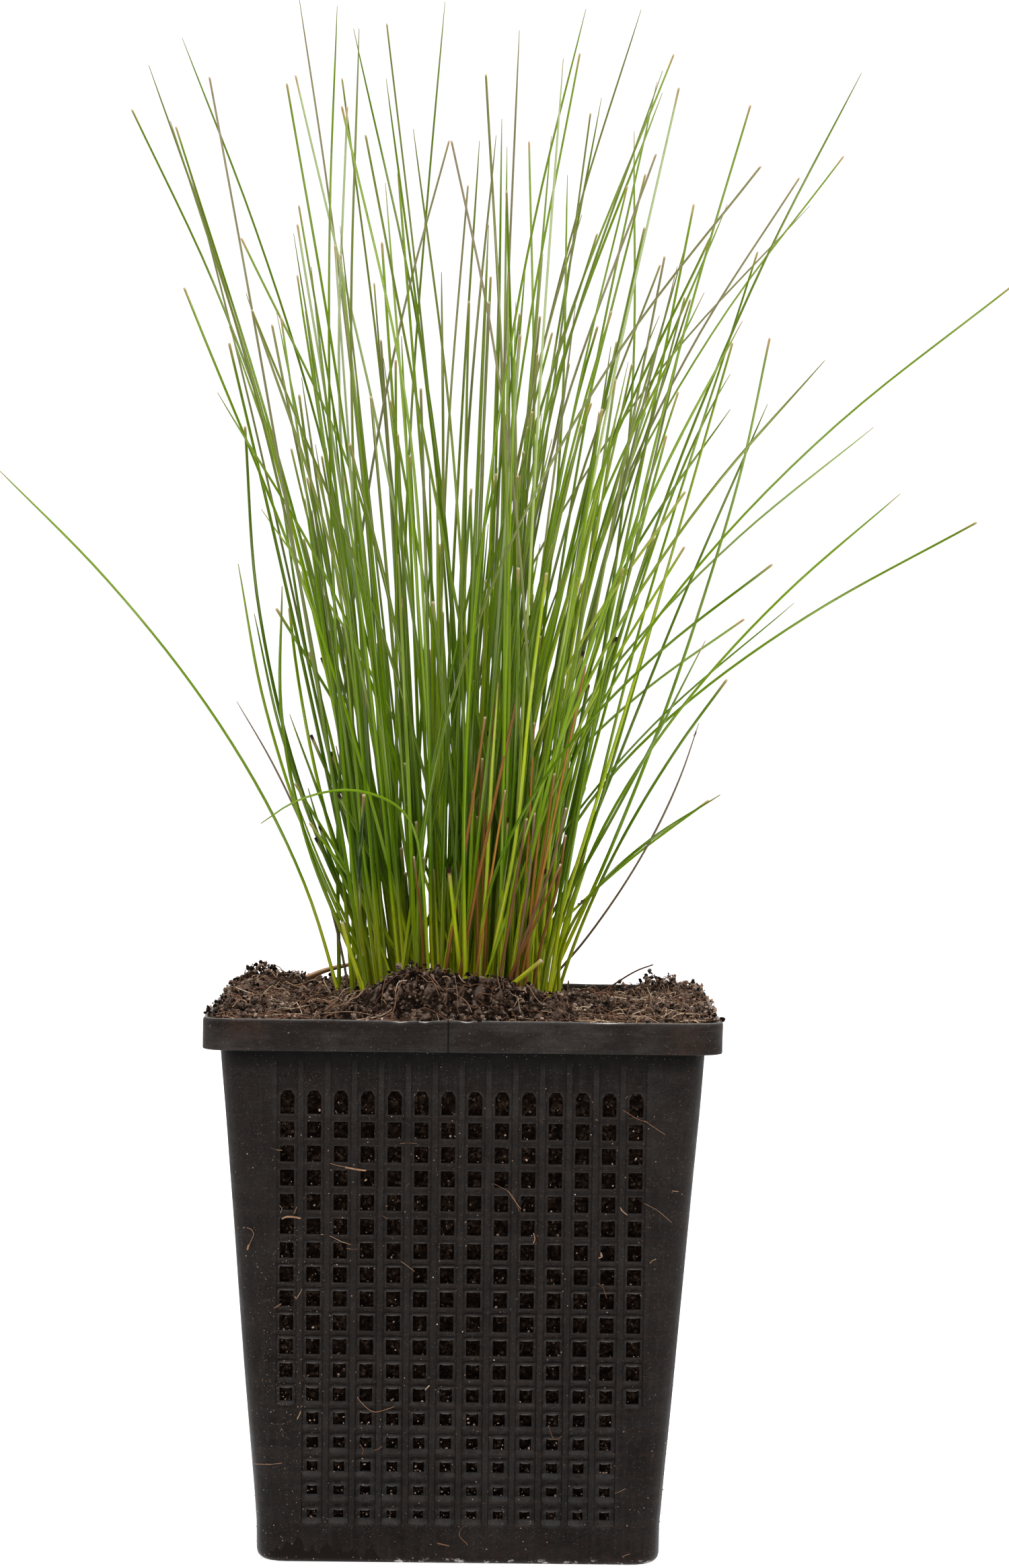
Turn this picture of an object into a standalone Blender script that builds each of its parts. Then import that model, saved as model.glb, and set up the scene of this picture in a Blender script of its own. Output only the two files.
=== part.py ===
"""Potted fiber optic grass: a square mesh basket of soil with one clump of thin round stems.

Units are metres, +Z is up, and the origin is the centre of the basket's underside.
The front of the basket faces -Y. Run with: blender --background --python part.py
"""

import math
import random

import bmesh
import bpy
import numpy as np
from mathutils import Matrix, Vector

# Gap kept between pieces that touch
GAP = 0.0003

# How far a cutter runs on past what it cuts
CUT_PAST = 0.004

# Basket
BASKET_HEIGHT = 0.096
RIM_WIDTH = 0.090
RIM_HEIGHT = 0.0055
RIM_CORNER = 0.004
RIM_WALL = 0.001
FOOT_WIDTH = 0.070
TOP_WIDTH = 0.0843
RIM_BASE = BASKET_HEIGHT - RIM_HEIGHT
WALL = 0.0012
FLOOR = 0.0015
BODY_CORNER = 0.005
CORNER_STEPS = 3

# Lattice: each opening stands for two by two of the real ones, with the same share of open wall
LATTICE_PITCH_X = 0.0093
LATTICE_PITCH_Z = 0.00848
LATTICE_TOP_Z = 0.0786
LATTICE_WIDE_ROWS = 7
LATTICE_ROWS = 9
LATTICE_WIDE_COLUMNS = 7
OPENING = (0.0052, 0.0048)
LOWEST_OPENING = (0.0040, 0.0036)
DRAIN_RADIUS = 0.004
DRAIN_OFFSET = 0.020
DRAIN_SIDES = 10

# Soil
SOIL_LEVEL = 0.0944
SOIL_CELLS = 14
CLUMP_CENTRE = (-0.003, 0.001)
PLATEAU_LEVEL = 0.0972
PLATEAU_REACH = (0.0215, 0.0195)
PLATEAU_EDGE = 1.12
PLATEAU_BLEND = 0.35
HEAPS = [
    # x, y, height above the soil level, radius
    (-0.0385, 0.0360, 0.0036, 0.0065),
    (-0.0280, 0.0330, 0.0026, 0.0085),
    (-0.0150, 0.0370, 0.0024, 0.0085),
    (0.0000, 0.0385, 0.0022, 0.0085),
    (-0.0420, 0.0180, 0.0024, 0.0120),
    (-0.0420, -0.0080, 0.0020, 0.0120),
    (-0.0260, -0.0250, 0.0022, 0.0090),
    (-0.0115, -0.0275, 0.0072, 0.0075),
    (-0.0035, -0.0275, 0.0054, 0.0070),
    (0.0050, -0.0275, 0.0046, 0.0070),
    (0.0130, -0.0260, 0.0042, 0.0075),
    (0.0280, -0.0100, 0.0020, 0.0090),
    (0.0420, 0.0100, 0.0022, 0.0130),
    (0.0420, -0.0150, 0.0018, 0.0110),
    (0.0378, 0.0340, 0.0030, 0.0065),
    (0.0200, 0.0360, -0.0020, 0.0070),
]

# Stems
CROWN_BASE = PLATEAU_LEVEL + GAP
CROWN_HEIGHT = 0.0015
CROWN_RADIUS = 0.0033
CROWN_SPACING = 0.0066
CROWN_ROWS = (3, 4, 5, 4, 3)
STEM_RADIUS = 0.00055
TIP_RADIUS = 0.00022
FREE_STEM_STEPS = 5
TUFT_STEM_HEIGHTS = (0.36, 0.68, 1.0)
TUFT_FOOT_RISE = 0.004
TAPER_CURVE = 1.3
DEPTH_CURVE = 1.2
EYE = Vector((0.0065, -0.825, 0.1604))

# The clump's half width and half depth at its foot, and how much each grows with height
CLUMP_FOOT = (0.020, 0.016)
CLUMP_SPREAD = (0.29, 0.24)
TIP_REACH = 0.92
GOLDEN = 0.618034
FIRST_TIP = 0.31

# Short stems that fill the rest of the tufts: heights, share of the clump's spread and bow
FILL_SEED = 11
FILL_HEIGHTS = (0.055, 0.135)
FILL_SPREAD = (0.75, 0.95)
FILL_FOOT = (0.018, 0.016)
FILL_BOW = 0.05

# Spacing of the stems: least distance between axes, and how it is reached
CLEARANCE = 0.0018
SPACING_FIRST = 0.004
SPACING_STEP = 0.003
SPACING_TOP = 0.285
SPACING_ROUNDS = 160
SPACING_PUSH = 0.3
FREE_RINGS = ((0.0182, 0.0165), (0.0203, 0.0186))
FREE_PLACES = 20
FREE_DEPTH = 0.030
MOST_SAG = 0.008

# Stems on one crown, the turn from one to the next in degrees, and how far out they stand
CROWN_SIDES = 6
FACET_TURN = 360 / CROWN_SIDES
CROWN_FOOT_SHARE = 2 / 3

# Smallest gain that counts when feet are swapped, and shortest distance that is divided by
SAME_MISS = 1e-12
SAME_PLACE = 1e-6

# Stems as they look from the front, in mm: name, tip x and z, middle x and z, base x, depth of the tip.
# A stem with no depth given shares one of the tufts, and the rest stand free.
STEMS = [
    ("far_left", (-86, 192), (-58, 163), -22, -6),
    ("left_tall", (-62, 257), (-37, 200), -17, 9),
    ("left_thin", (-59, 265), (-37, 198), -16, -14),
    ("left_bowed", (-53, 270), (-34, 220), -9, 24),
    ("left_brown", (-48, 263), (-39, 217), -17, -30),
    ("left_dry", (-42, 150), (-34, 136), -17, 8),
    ("top_left", (-32, 278), (-25, 233), -9, 30),
    ("top_left_pale", (-25, 276), (-33, 238), -17, -18),
    ("top_middle", (-5.5, 277), (-9, 232), -12, 34),
    ("crossed_left", (-4.5, 252), (-20, 206), -20, 4),
    ("with_spikelet", (-4, 252), (7, 206), 13, -34),
    ("top_right", (20, 276), (11, 242), 6, -40),
    ("top_right_thin", (30, 276), (21, 247), 8, 38),
    ("right_tall", (50, 259), (44, 239), 13, -32),
    ("diagonal", (52, 248), (30, 226), -9, -38),
    ("right_brown", (59, 246), (45, 225), 13, 24),
    ("far_right_tall", (70, 265), (52, 229), 12, -16),
    ("far_right_thin", (67, 250), (49, 226), 12, 34),
    ("right_hooked", (61, 241), (39, 223), 6, 44),
    ("right_thin", (49, 220), (35, 193), 12, -44),
    ("right_pale", (54, 217), (48, 190), 17, 14),
    ("right_bright", (64, 213), (49, 196), 11, -26),
    ("right_short", (47, 204), (34, 185), 12, 40),
    ("long_right", (98, 227), (55, 193), 12, -22),
    ("right_spray_thin", (73, 201), (49, 181), 9, 30),
    ("right_spray", (78, 189), (49, 162), 14, -6),
    ("right_spray_curved", (92, 184), (55, 166), 13, 10),
    ("right_low_upper", (55, 176), (39, 164), 8, -34),
    ("right_low_lower", (50, 166), (31, 158), 9, 26),
    ("right_low", (47, 155), (37, 141), 15, -12),
    ("right_low_dry", (42, 147), (32, 123), 17, 4),
    ("right_lowest", (46, 134), (31, 124), 15, -20),
    ("left_2", (-55, 255), (-44, 223), -15, None),
    ("left_3", (-54, 254), (-40, 211), -14, None),
    ("left_4", (-42, 234), (-31, 216), -7, None),
    ("left_5", (-41, 224), (-34, 206), -12, None),
    ("left_6", (-44, 218), (-35, 193), -17, None),
    ("left_7", (-44, 215), (-39, 195), -18, None),
    ("left_8", (-46, 206), (-33, 186), -7, None),
    ("left_9", (-41, 200), (-39, 172), -18, None),
    ("left_10", (-42, 175), (-38, 154), -20, None),
    ("left_11", (-39, 166), (-35, 148), -18, None),
    ("left_12", (-35, 167), (-30, 160), -12, None),
    ("left_13", (-34, 171), (-35, 148), -21, None),
    ("left_14", (-38, 185), (-28, 174), -6, None),
    ("top_3", (-34, 262), (-27, 225), -12, None),
    ("top_4", (-24, 263), (-19, 228), -7, None),
    ("top_5", (-22, 272), (-9, 219), 1, None),
    ("top_6", (-21, 272), (-24, 238), -17, None),
    ("top_7", (-16, 273), (-11, 233), -1, None),
    ("top_8", (-16, 263), (-12, 238), -2, None),
    ("top_9", (-24, 258), (-14, 223), -7, None),
    ("top_10", (-23, 258), (-25, 233), -16, None),
    ("top_12", (-11, 254), (-7, 228), 1, None),
    ("top_13", (-1, 244), (-4, 217), -4, None),
    ("top_14", (1, 252), (-1, 217), -3, None),
    ("top_15", (2, 264), (6, 233), 10, None),
    ("top_16", (8, 272), (7, 245), 7, None),
    ("top_17", (5, 256), (5, 229), 6, None),
    ("top_18", (6, 251), (6, 229), 6, None),
    ("top_19", (4, 253), (0, 219), -1, None),
    ("top_20", (6, 243), (7, 217), 9, None),
    ("top_21", (10, 252), (11, 233), 13, None),
    ("top_23", (19, 268), (13, 236), 9, None),
    ("top_24", (16, 267), (14, 238), 12, None),
    ("top_25", (14, 253), (12, 226), 10, None),
    ("top_26", (17, 246), (17, 223), 13, None),
    ("top_27", (23, 260), (18, 233), 12, None),
    ("top_29", (36, 268), (24, 242), 8, None),
    ("top_30", (34, 265), (23, 239), 9, None),
    ("top_31", (33, 263), (26, 230), 13, None),
    ("top_32", (34, 261), (24, 236), 12, None),
    ("top_33", (37, 262), (29, 226), 14, None),
    ("top_34", (29, 254), (33, 225), 16, None),
    ("top_35", (33, 250), (27, 236), 12, None),
    ("right_1", (40, 241), (37, 223), 16, None),
    ("right_3", (46, 241), (39, 225), 15, None),
    ("right_8", (43, 235), (33, 215), 13, None),
    ("right_9", (34, 230), (28, 215), 13, None),
    ("right_10", (42, 225), (34, 210), 14, None),
    ("right_13", (54, 205), (47, 188), 16, None),
    ("right_18", (59, 169), (49, 161), 14, None),
    ("right_21", (43, 162), (35, 146), 14, None),
    ("right_24", (44, 133), (31, 123), 14, None),
    ("right_25", (39, 179), (32, 168), 13, None),
    ("right_26", (39, 189), (29, 177), 12, None),
    ("inner_1", (-34, 187), (-31, 168), -17, None),
    ("inner_2", (-30, 187), (-27, 168), -15, None),
    ("inner_3", (-28, 193), (-25, 180), -9, None),
    ("inner_4", (-24, 196), (-21, 180), -12, None),
    ("inner_5", (-22, 197), (-17, 180), -7, None),
    ("inner_6", (-15, 196), (-14, 180), -9, None),
    ("inner_7", (-11, 195), (-10, 180), -4, None),
    ("inner_8", (-13, 177), (-12, 162), -7, None),
    ("inner_9", (-7, 179), (-8, 162), -9, None),
    ("inner_10", (-22, 160), (-21, 149), -13, None),
    ("inner_11", (0, 188), (0, 168), -1, None),
    ("inner_12", (23, 189), (20, 174), 10, None),
    ("inner_13", (14, 174), (12, 156), 8, None),
    ("inner_14", (28, 175), (22, 156), 12, None),
    ("inner_15", (27, 205), (22, 186), 10, None),
]

DRY_STEMS = ("left_dry", "right_low_dry")

# The arched stem rises from the front of the clump and hangs over to the left, in mm.
ARCHED_ROUTE = [
    (-6.1, -17.0, 97.5),
    (-8.0, -20.5, 123.0),
    (-10.3, -24.0, 130.3),
    (-15.0, -27.5, 133.9),
    (-21.9, -29.5, 135.1),
    (-29.7, -31.0, 133.1),
    (-35.7, -32.0, 129.2),
]


def mm(*values):
    """Millimetres as a vector in metres."""
    return Vector(values) / 1000


def clear_scene():
    """Removes every object and collection."""
    for obj in list(bpy.data.objects):
        bpy.data.objects.remove(obj)
    for collection in list(bpy.data.collections):
        bpy.data.collections.remove(collection)


def new_collection(name):
    collection = bpy.data.collections.new(name)
    bpy.context.scene.collection.children.link(collection)
    return collection


def material(name, colour, roughness):
    made = bpy.data.materials.new(name)
    made.use_nodes = True
    shader = made.node_tree.nodes["Principled BSDF"]
    shader.inputs["Base Color"].default_value = (*colour, 1)
    shader.inputs["Roughness"].default_value = roughness
    shader.inputs["Metallic"].default_value = 0
    return made


def add_object(name, bm, collection, finish=None):
    """An object from this bmesh, with its faces turned outwards."""
    bmesh.ops.recalc_face_normals(bm, faces=bm.faces)
    mesh = bpy.data.meshes.new(name)
    bm.to_mesh(mesh)
    bm.free()
    obj = bpy.data.objects.new(name, mesh)
    collection.objects.link(obj)
    if finish:
        mesh.materials.append(finish)
    return obj


def helper(obj):
    obj.hide_render = True
    obj.display_type = "WIRE"
    return obj


def cut(obj, other, operation="DIFFERENCE"):
    modifier = obj.modifiers.new(other.name, "BOOLEAN")
    modifier.operation = operation
    modifier.solver = "EXACT"
    modifier.object = other


# Basket


def body_half_width(z):
    """Half the basket body's outer width at this height, which grows evenly from foot to top."""
    share = z / RIM_BASE
    return (FOOT_WIDTH + (TOP_WIDTH - FOOT_WIDTH) * share) / 2


def rounded_prism(low, high, low_half, high_half, corner):
    """A square block between two heights, tapered, with rounded upright edges."""
    bm = bmesh.new()
    bmesh.ops.create_cube(bm, size=2)
    for vert in bm.verts:
        half = high_half if vert.co.z > 0 else low_half
        vert.co = Vector((vert.co.x * half, vert.co.y * half, high if vert.co.z > 0 else low))
    upright = [edge for edge in bm.edges if edge.verts[0].co.z != edge.verts[1].co.z]
    bmesh.ops.bevel(
        bm, geom=upright, offset=corner, segments=CORNER_STEPS, profile=0.5, affect="EDGES"
    )
    return bm


def inner_block(low, high, inset):
    """A tapered block that stays this far inside the basket body's outer faces."""
    low_half = body_half_width(low) - inset
    return rounded_prism(low, high, low_half, body_half_width(high) - inset, BODY_CORNER - inset)


def lattice_bars(name, along_y, cutters):
    """Bars that cut one pair of opposite walls, as one helper."""
    through = RIM_WIDTH + 2 * CUT_PAST
    bm = bmesh.new()
    for row in range(LATTICE_ROWS):
        columns = LATTICE_WIDE_COLUMNS - (row >= LATTICE_WIDE_ROWS)
        low = max(0, row - LATTICE_WIDE_ROWS + 1) / (LATTICE_ROWS - LATTICE_WIDE_ROWS)
        width = OPENING[0] + (LOWEST_OPENING[0] - OPENING[0]) * low
        height = OPENING[1] + (LOWEST_OPENING[1] - OPENING[1]) * low
        z = LATTICE_TOP_Z - row * LATTICE_PITCH_Z
        for column in range(columns):
            side = (column - (columns - 1) / 2) * LATTICE_PITCH_X
            place = Matrix.Translation((side, 0, z) if along_y else (0, side, z))
            size = (width, through, height) if along_y else (through, width, height)
            bmesh.ops.create_cube(bm, size=1, matrix=place @ Matrix.Diagonal((*size, 1)))
    return helper(add_object(name, bm, cutters))


def drain_pins(cutters):
    """Four round drainage holes in the floor."""
    bm = bmesh.new()
    for x in (-DRAIN_OFFSET, DRAIN_OFFSET):
        for y in (-DRAIN_OFFSET, DRAIN_OFFSET):
            bmesh.ops.create_cone(
                bm,
                cap_ends=True,
                segments=DRAIN_SIDES,
                radius1=DRAIN_RADIUS,
                radius2=DRAIN_RADIUS,
                depth=4 * FLOOR,
                matrix=Matrix.Translation((x, y, FLOOR / 2)),
            )
    return helper(add_object("drain_pins", bm, cutters))


def make_basket(parts, cutters):
    plastic = material("black_plastic", (0.018, 0.018, 0.02), 0.42)
    body_top = RIM_BASE + WALL / 2
    body = rounded_prism(0, body_top, FOOT_WIDTH / 2, body_half_width(body_top), BODY_CORNER)
    basket = add_object("basket", body, parts, plastic)
    rim_half = RIM_WIDTH / 2
    rim = rounded_prism(RIM_BASE, BASKET_HEIGHT, rim_half, rim_half, RIM_CORNER)
    cut(basket, helper(add_object("rim_block", rim, cutters)), "UNION")
    inner_half = rim_half - RIM_WALL
    above = BASKET_HEIGHT + CUT_PAST
    hollow = rounded_prism(RIM_BASE + WALL, above, inner_half, inner_half, RIM_CORNER - RIM_WALL)
    cut(basket, helper(add_object("rim_hollow", hollow, cutters)))
    inside = inner_block(FLOOR, RIM_BASE + 2 * WALL, WALL)
    cut(basket, helper(add_object("inside", inside, cutters)))
    cut(basket, lattice_bars("front_and_back_bars", True, cutters))
    cut(basket, lattice_bars("side_bars", False, cutters))
    cut(basket, drain_pins(cutters))
    return basket


# Soil


def soil_height(x, y):
    """Height of the soil's surface: a lumpy top, with a flat place where the stems stand."""
    height = SOIL_LEVEL
    for heap_x, heap_y, rise, radius in HEAPS:
        height += rise * math.exp(-((x - heap_x) ** 2 + (y - heap_y) ** 2) / radius**2)
    across = (x - CLUMP_CENTRE[0]) / PLATEAU_REACH[0]
    deep = (y - CLUMP_CENTRE[1]) / PLATEAU_REACH[1]
    blend = min(1.0, max(0.0, (math.hypot(across, deep) - PLATEAU_EDGE) / PLATEAU_BLEND))
    return PLATEAU_LEVEL + (height - PLATEAU_LEVEL) * blend


def round_corner(x, y, half, radius):
    """The point moved inwards onto the rounded corner where it lies outside it."""
    corner = half - radius
    past_x = abs(x) - corner
    past_y = abs(y) - corner
    reach = math.hypot(past_x, past_y)
    if past_x <= 0 or past_y <= 0 or reach <= radius:
        return x, y
    scale = radius / reach
    return math.copysign(corner + past_x * scale, x), math.copysign(corner + past_y * scale, y)


def make_soil(parts, cutters):
    """The soil: a lumpy slab that fills the rim, joined to the tapered block below it."""
    earth = material("dark_soil", (0.032, 0.020, 0.014), 0.95)
    half = RIM_WIDTH / 2 - RIM_WALL - GAP
    corner = RIM_CORNER - RIM_WALL - GAP
    slab_base = RIM_BASE + WALL + GAP
    bm = bmesh.new()
    bmesh.ops.create_grid(bm, x_segments=SOIL_CELLS, y_segments=SOIL_CELLS, size=half)
    for vert in bm.verts:
        vert.co.x, vert.co.y = round_corner(vert.co.x, vert.co.y, half, corner)
    top = list(bm.verts)
    extruded = bmesh.ops.extrude_face_region(bm, geom=bm.faces[:])["geom"]
    under = [item for item in extruded if isinstance(item, bmesh.types.BMFace)]
    for vert in {vert for face in under for vert in face.verts}:
        vert.co.z = slab_base
    for vert in top:
        vert.co.z = soil_height(vert.co.x, vert.co.y)
    bmesh.ops.dissolve_faces(bm, faces=under)
    soil = add_object("soil", bm, parts, earth)
    block = inner_block(FLOOR + GAP, slab_base + WALL, WALL + GAP)
    cut(soil, helper(add_object("soil_below_rim", block, cutters)), "UNION")
    return soil


# Stem routes


def along_sight(x, z, depth):
    """The point at this depth that looks, from the front, as if it were at x and z over the origin."""
    seen = Vector((x, 0, z))
    stretch = (depth - EYE.y) / -EYE.y
    return EYE + (seen - EYE) * stretch


def smooth_route(base, middle, tip, shares):
    """Points at these shares of the height, on a parabola through base, middle and tip."""
    rise = tip.z - base.z
    middle_share = (middle.z - base.z) / rise
    lean = tip.x - base.x
    sag = (lean * middle_share - (middle.x - base.x)) / (middle_share * (1 - middle_share))
    most = abs(lean) + MOST_SAG
    sag = min(max(sag, -most), most)
    route = []
    for share in shares:
        x = base.x + lean * share - sag * share * (1 - share)
        y = base.y + (tip.y - base.y) * share**DEPTH_CURVE
        route.append(Vector((x, y, base.z + rise * share)))
    return route


def free_feet():
    """Places for the free stems' feet, in two staggered rings round the tufts."""
    feet = []
    for ring, (across, deep) in enumerate(FREE_RINGS):
        for place in range(FREE_PLACES):
            turn = (place + ring / 2) / FREE_PLACES * 2 * math.pi
            x = CLUMP_CENTRE[0] + across * math.cos(turn)
            y = CLUMP_CENTRE[1] + deep * math.sin(turn)
            feet.append(Vector((x, y, CROWN_BASE)))
    return feet


def wanted_foot(base_x, depth, deep):
    """Where a stem would best start: under its x as seen, and to the front or back as its tip is."""
    across, reach = FREE_RINGS[0]
    x = min(max(base_x, CLUMP_CENTRE[0] - across), CLUMP_CENTRE[0] + across)
    edge = reach * math.sqrt(1 - ((x - CLUMP_CENTRE[0]) / across) ** 2)
    share = min(max((depth - CLUMP_CENTRE[1]) / deep, -1), 1)
    return Vector((x, CLUMP_CENTRE[1] + share * edge))


def clump_reach(z):
    """How far the clump spreads from its axis at this height, across and in depth."""
    height = z - CROWN_BASE
    return [foot + spread * height for foot, spread in zip(CLUMP_FOOT, CLUMP_SPREAD)]


def tip_depth(x, z, order):
    """A depth for a tip of the tufts, spread evenly through the clump's round outline."""
    across, deep = clump_reach(z)
    share = min(TIP_REACH, abs(x - CLUMP_CENTRE[0]) / across)
    place = 2 * ((order * GOLDEN + FIRST_TIP) % 1) - 1
    return CLUMP_CENTRE[1] + place * deep * math.sqrt(1 - share**2)


def crown_places():
    """Centres of the crowns, in five staggered rows."""
    places = []
    for row, count in enumerate(CROWN_ROWS):
        y = (row - (len(CROWN_ROWS) - 1) / 2) * CROWN_SPACING * math.sqrt(3) / 2
        for column in range(count):
            x = (column - (count - 1) / 2) * CROWN_SPACING
            places.append(Vector((CLUMP_CENTRE[0] + x, CLUMP_CENTRE[1] + y, 0)))
    return places


def choose_feet(wanted, places):
    """The place for each wanted foot, exchanged until no exchange brings them closer."""
    chosen = list(range(len(places)))

    def miss(order, place):
        return (places[place].xy - wanted[order]).length_squared if order < len(wanted) else 0

    improved = True
    while improved:
        improved = False
        for first in range(len(wanted)):
            for second in range(first + 1, len(places)):
                now = miss(first, chosen[first]) + miss(second, chosen[second])
                swapped = miss(first, chosen[second]) + miss(second, chosen[first])
                if swapped < now - SAME_MISS:
                    chosen[first], chosen[second] = chosen[second], chosen[first]
                    improved = True
    return chosen


def free_routes():
    """Name and route of each stem that stands apart from the tufts."""
    shares = [step / FREE_STEM_STEPS for step in range(FREE_STEM_STEPS + 1)]
    places = free_feet()
    listed = [stem for stem in STEMS if stem[4] is not None]
    wanted = [wanted_foot(stem[3] / 1000, stem[4] / 1000, FREE_DEPTH) for stem in listed]
    chosen = choose_feet(wanted, places)
    routes = {}
    for order, (name, tip, middle, _, depth) in enumerate(listed):
        base = places[chosen[order]]
        tip_point = along_sight(*mm(*tip), depth / 1000)
        middle_point = along_sight(*mm(*middle), (depth / 1000 + base.y) / 2)
        routes[name] = smooth_route(base, middle_point, tip_point, shares)
    return routes


def tuft_feet():
    """Foot of each tuft stem, as crown number, place on the crown and point."""
    feet = []
    out = CROWN_RADIUS * math.cos(math.pi / CROWN_SIDES) * CROWN_FOOT_SHARE
    for number, centre in enumerate(crown_places()):
        for facet in range(CROWN_SIDES):
            turn = math.radians(FACET_TURN * facet)
            offset = Vector((math.cos(turn), math.sin(turn), 0)) * out
            feet.append((number, facet, centre + offset + Vector((0, 0, CROWN_BASE + CROWN_HEIGHT))))
    return feet


def tuft_routes():
    """Route of each tuft stem: the listed ones first, then others that fill the rest of the feet."""
    chance = random.Random(FILL_SEED)
    feet = tuft_feet()
    listed = [stem for stem in STEMS if stem[4] is None]
    tips = [mm(*stem[1]) for stem in listed]
    depths = [tip_depth(*tip, order) for order, tip in enumerate(tips)]
    wanted = [
        wanted_foot(stem[3] / 1000, depth, clump_reach(tip.y)[1])
        for stem, tip, depth in zip(listed, tips, depths)
    ]
    chosen = choose_feet(wanted, [foot for _, _, foot in feet])
    routes = {}
    for order, (_, _, middle, _, _) in enumerate(listed):
        tip_x, tip_z = tips[order]
        depth = depths[order]
        number, facet, foot = feet[chosen[order]]
        tip_point = along_sight(tip_x, tip_z, depth)
        middle_point = along_sight(*mm(*middle), (depth + foot.y) / 2)
        routes[number, facet] = tuft_route(foot, middle_point, tip_point)
    for index in chosen[len(listed) :]:
        number, facet, foot = feet[index]
        height = chance.uniform(*FILL_HEIGHTS)
        across, deep = clump_reach(foot.z + height)
        out = foot.xy - Vector(CLUMP_CENTRE)
        spread = Vector((out.x / FILL_FOOT[0] * across, out.y / FILL_FOOT[1] * deep))
        spread *= chance.uniform(*FILL_SPREAD)
        tip_point = Vector((*(Vector(CLUMP_CENTRE) + spread), foot.z + height))
        middle_point = foot.lerp(tip_point, 0.5) - Vector((*(spread - out), 0)) * FILL_BOW
        routes[number, facet] = tuft_route(foot, middle_point, tip_point)
    return routes


def tuft_route(foot, middle, tip):
    """A tuft stem's points: its foot, a point just over it, and points up to the tip."""
    shares = [TUFT_FOOT_RISE / (tip.z - foot.z), *TUFT_STEM_HEIGHTS]
    route = smooth_route(foot, middle, tip, shares)
    return [foot, *route]


def keep_apart(routes):
    """Moves stems sideways a little where two would touch. Feet and tips move least."""
    points = [np.array([tuple(point) for point in route]) for route in routes]
    levels = np.arange(CROWN_BASE + SPACING_FIRST, SPACING_TOP, SPACING_STEP)
    for _ in range(SPACING_ROUNDS):
        places = np.full((len(points), len(levels), 2), np.nan)
        for index, route in enumerate(points):
            inside = levels <= route[-1, 2]
            for axis in (0, 1):
                places[index, inside, axis] = np.interp(levels[inside], route[:, 2], route[:, axis])
        moved = False
        for column, level in enumerate(levels):
            here = places[:, column]
            present = np.flatnonzero(~np.isnan(here[:, 0]))
            gaps = here[present, None] - here[None, present]
            distance = np.linalg.norm(gaps, axis=2)
            first, second = np.nonzero(np.triu(distance < CLEARANCE, 1))
            for a, b in zip(present[first], present[second]):
                push = here[a] - here[b]
                length = max(np.linalg.norm(push), SAME_PLACE)
                push = push / length * (CLEARANCE - length) * SPACING_PUSH
                for index, sign in ((a, 1), (b, -1)):
                    route = points[index]
                    upper = int(np.searchsorted(route[:, 2], level))
                    upper = min(max(upper, 1), len(route) - 1)
                    span = route[upper, 2] - route[upper - 1, 2]
                    share = (level - route[upper - 1, 2]) / span
                    route[upper, :2] += sign * push * share
                    if upper > 1:
                        route[upper - 1, :2] += sign * push * (1 - share)
                moved = True
        if not moved:
            break
    return [[Vector(point) for point in route] for route in points]


# Stems as solids


def stem_radius(share):
    """A stem's radius at this share of its length."""
    return STEM_RADIUS + (TIP_RADIUS - STEM_RADIUS) * share**TAPER_CURVE


def make_free_stem(name, route, finish, parts):
    """One round stem: a curve through its route that thins towards the tip."""
    curve = bpy.data.curves.new(name, "CURVE")
    curve.dimensions = "3D"
    curve.bevel_depth = STEM_RADIUS
    curve.bevel_resolution = 0
    curve.use_fill_caps = True
    spline = curve.splines.new("POLY")
    spline.points.add(len(route) - 1)
    for step, (point, place) in enumerate(zip(spline.points, route)):
        point.co = (*place, 1)
        point.radius = stem_radius(step / (len(route) - 1)) / STEM_RADIUS
    curve.materials.append(finish)
    obj = bpy.data.objects.new(name, curve)
    parts.objects.link(obj)
    return obj


def grow_stem(bm, face, route):
    """Draws a stem out of this facet of the crown, ring by ring, to a point."""
    foot = face.calc_center_median()
    spokes = [(vert.co - foot).normalized() for vert in face.verts]
    for step, place in enumerate(route[1:], 1):
        face = bmesh.ops.extrude_discrete_faces(bm, faces=[face])["faces"][0]
        radius = stem_radius(step / (len(route) - 1))
        for vert, spoke in zip(face.verts, spokes):
            vert.co = place + Vector((spoke.x, spoke.y, 0)) * radius
    bmesh.ops.pointmerge(bm, verts=face.verts[:], merge_co=route[-1])


def make_tuft(number, centre, routes, finish, parts):
    """A low six-sided crown with a stem grown from each facet of its top."""
    bm = bmesh.new()
    middle = centre + Vector((0, 0, CROWN_BASE + CROWN_HEIGHT / 2))
    bmesh.ops.create_cone(
        bm,
        cap_ends=True,
        segments=CROWN_SIDES,
        radius1=CROWN_RADIUS,
        radius2=CROWN_RADIUS,
        depth=CROWN_HEIGHT,
        matrix=Matrix.Translation(middle),
    )
    bm.faces.ensure_lookup_table()
    top = max(bm.faces, key=lambda face: face.calc_center_median().z)
    facets = bmesh.ops.poke(bm, faces=[top])["faces"]
    for facet in facets:
        offset = facet.calc_center_median() - middle
        place = round(math.degrees(math.atan2(offset.y, offset.x)) / FACET_TURN) % CROWN_SIDES
        grow_stem(bm, facet, routes[number, place])
    return add_object(f"tuft_{number + 1:02d}", bm, parts, finish)


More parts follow.
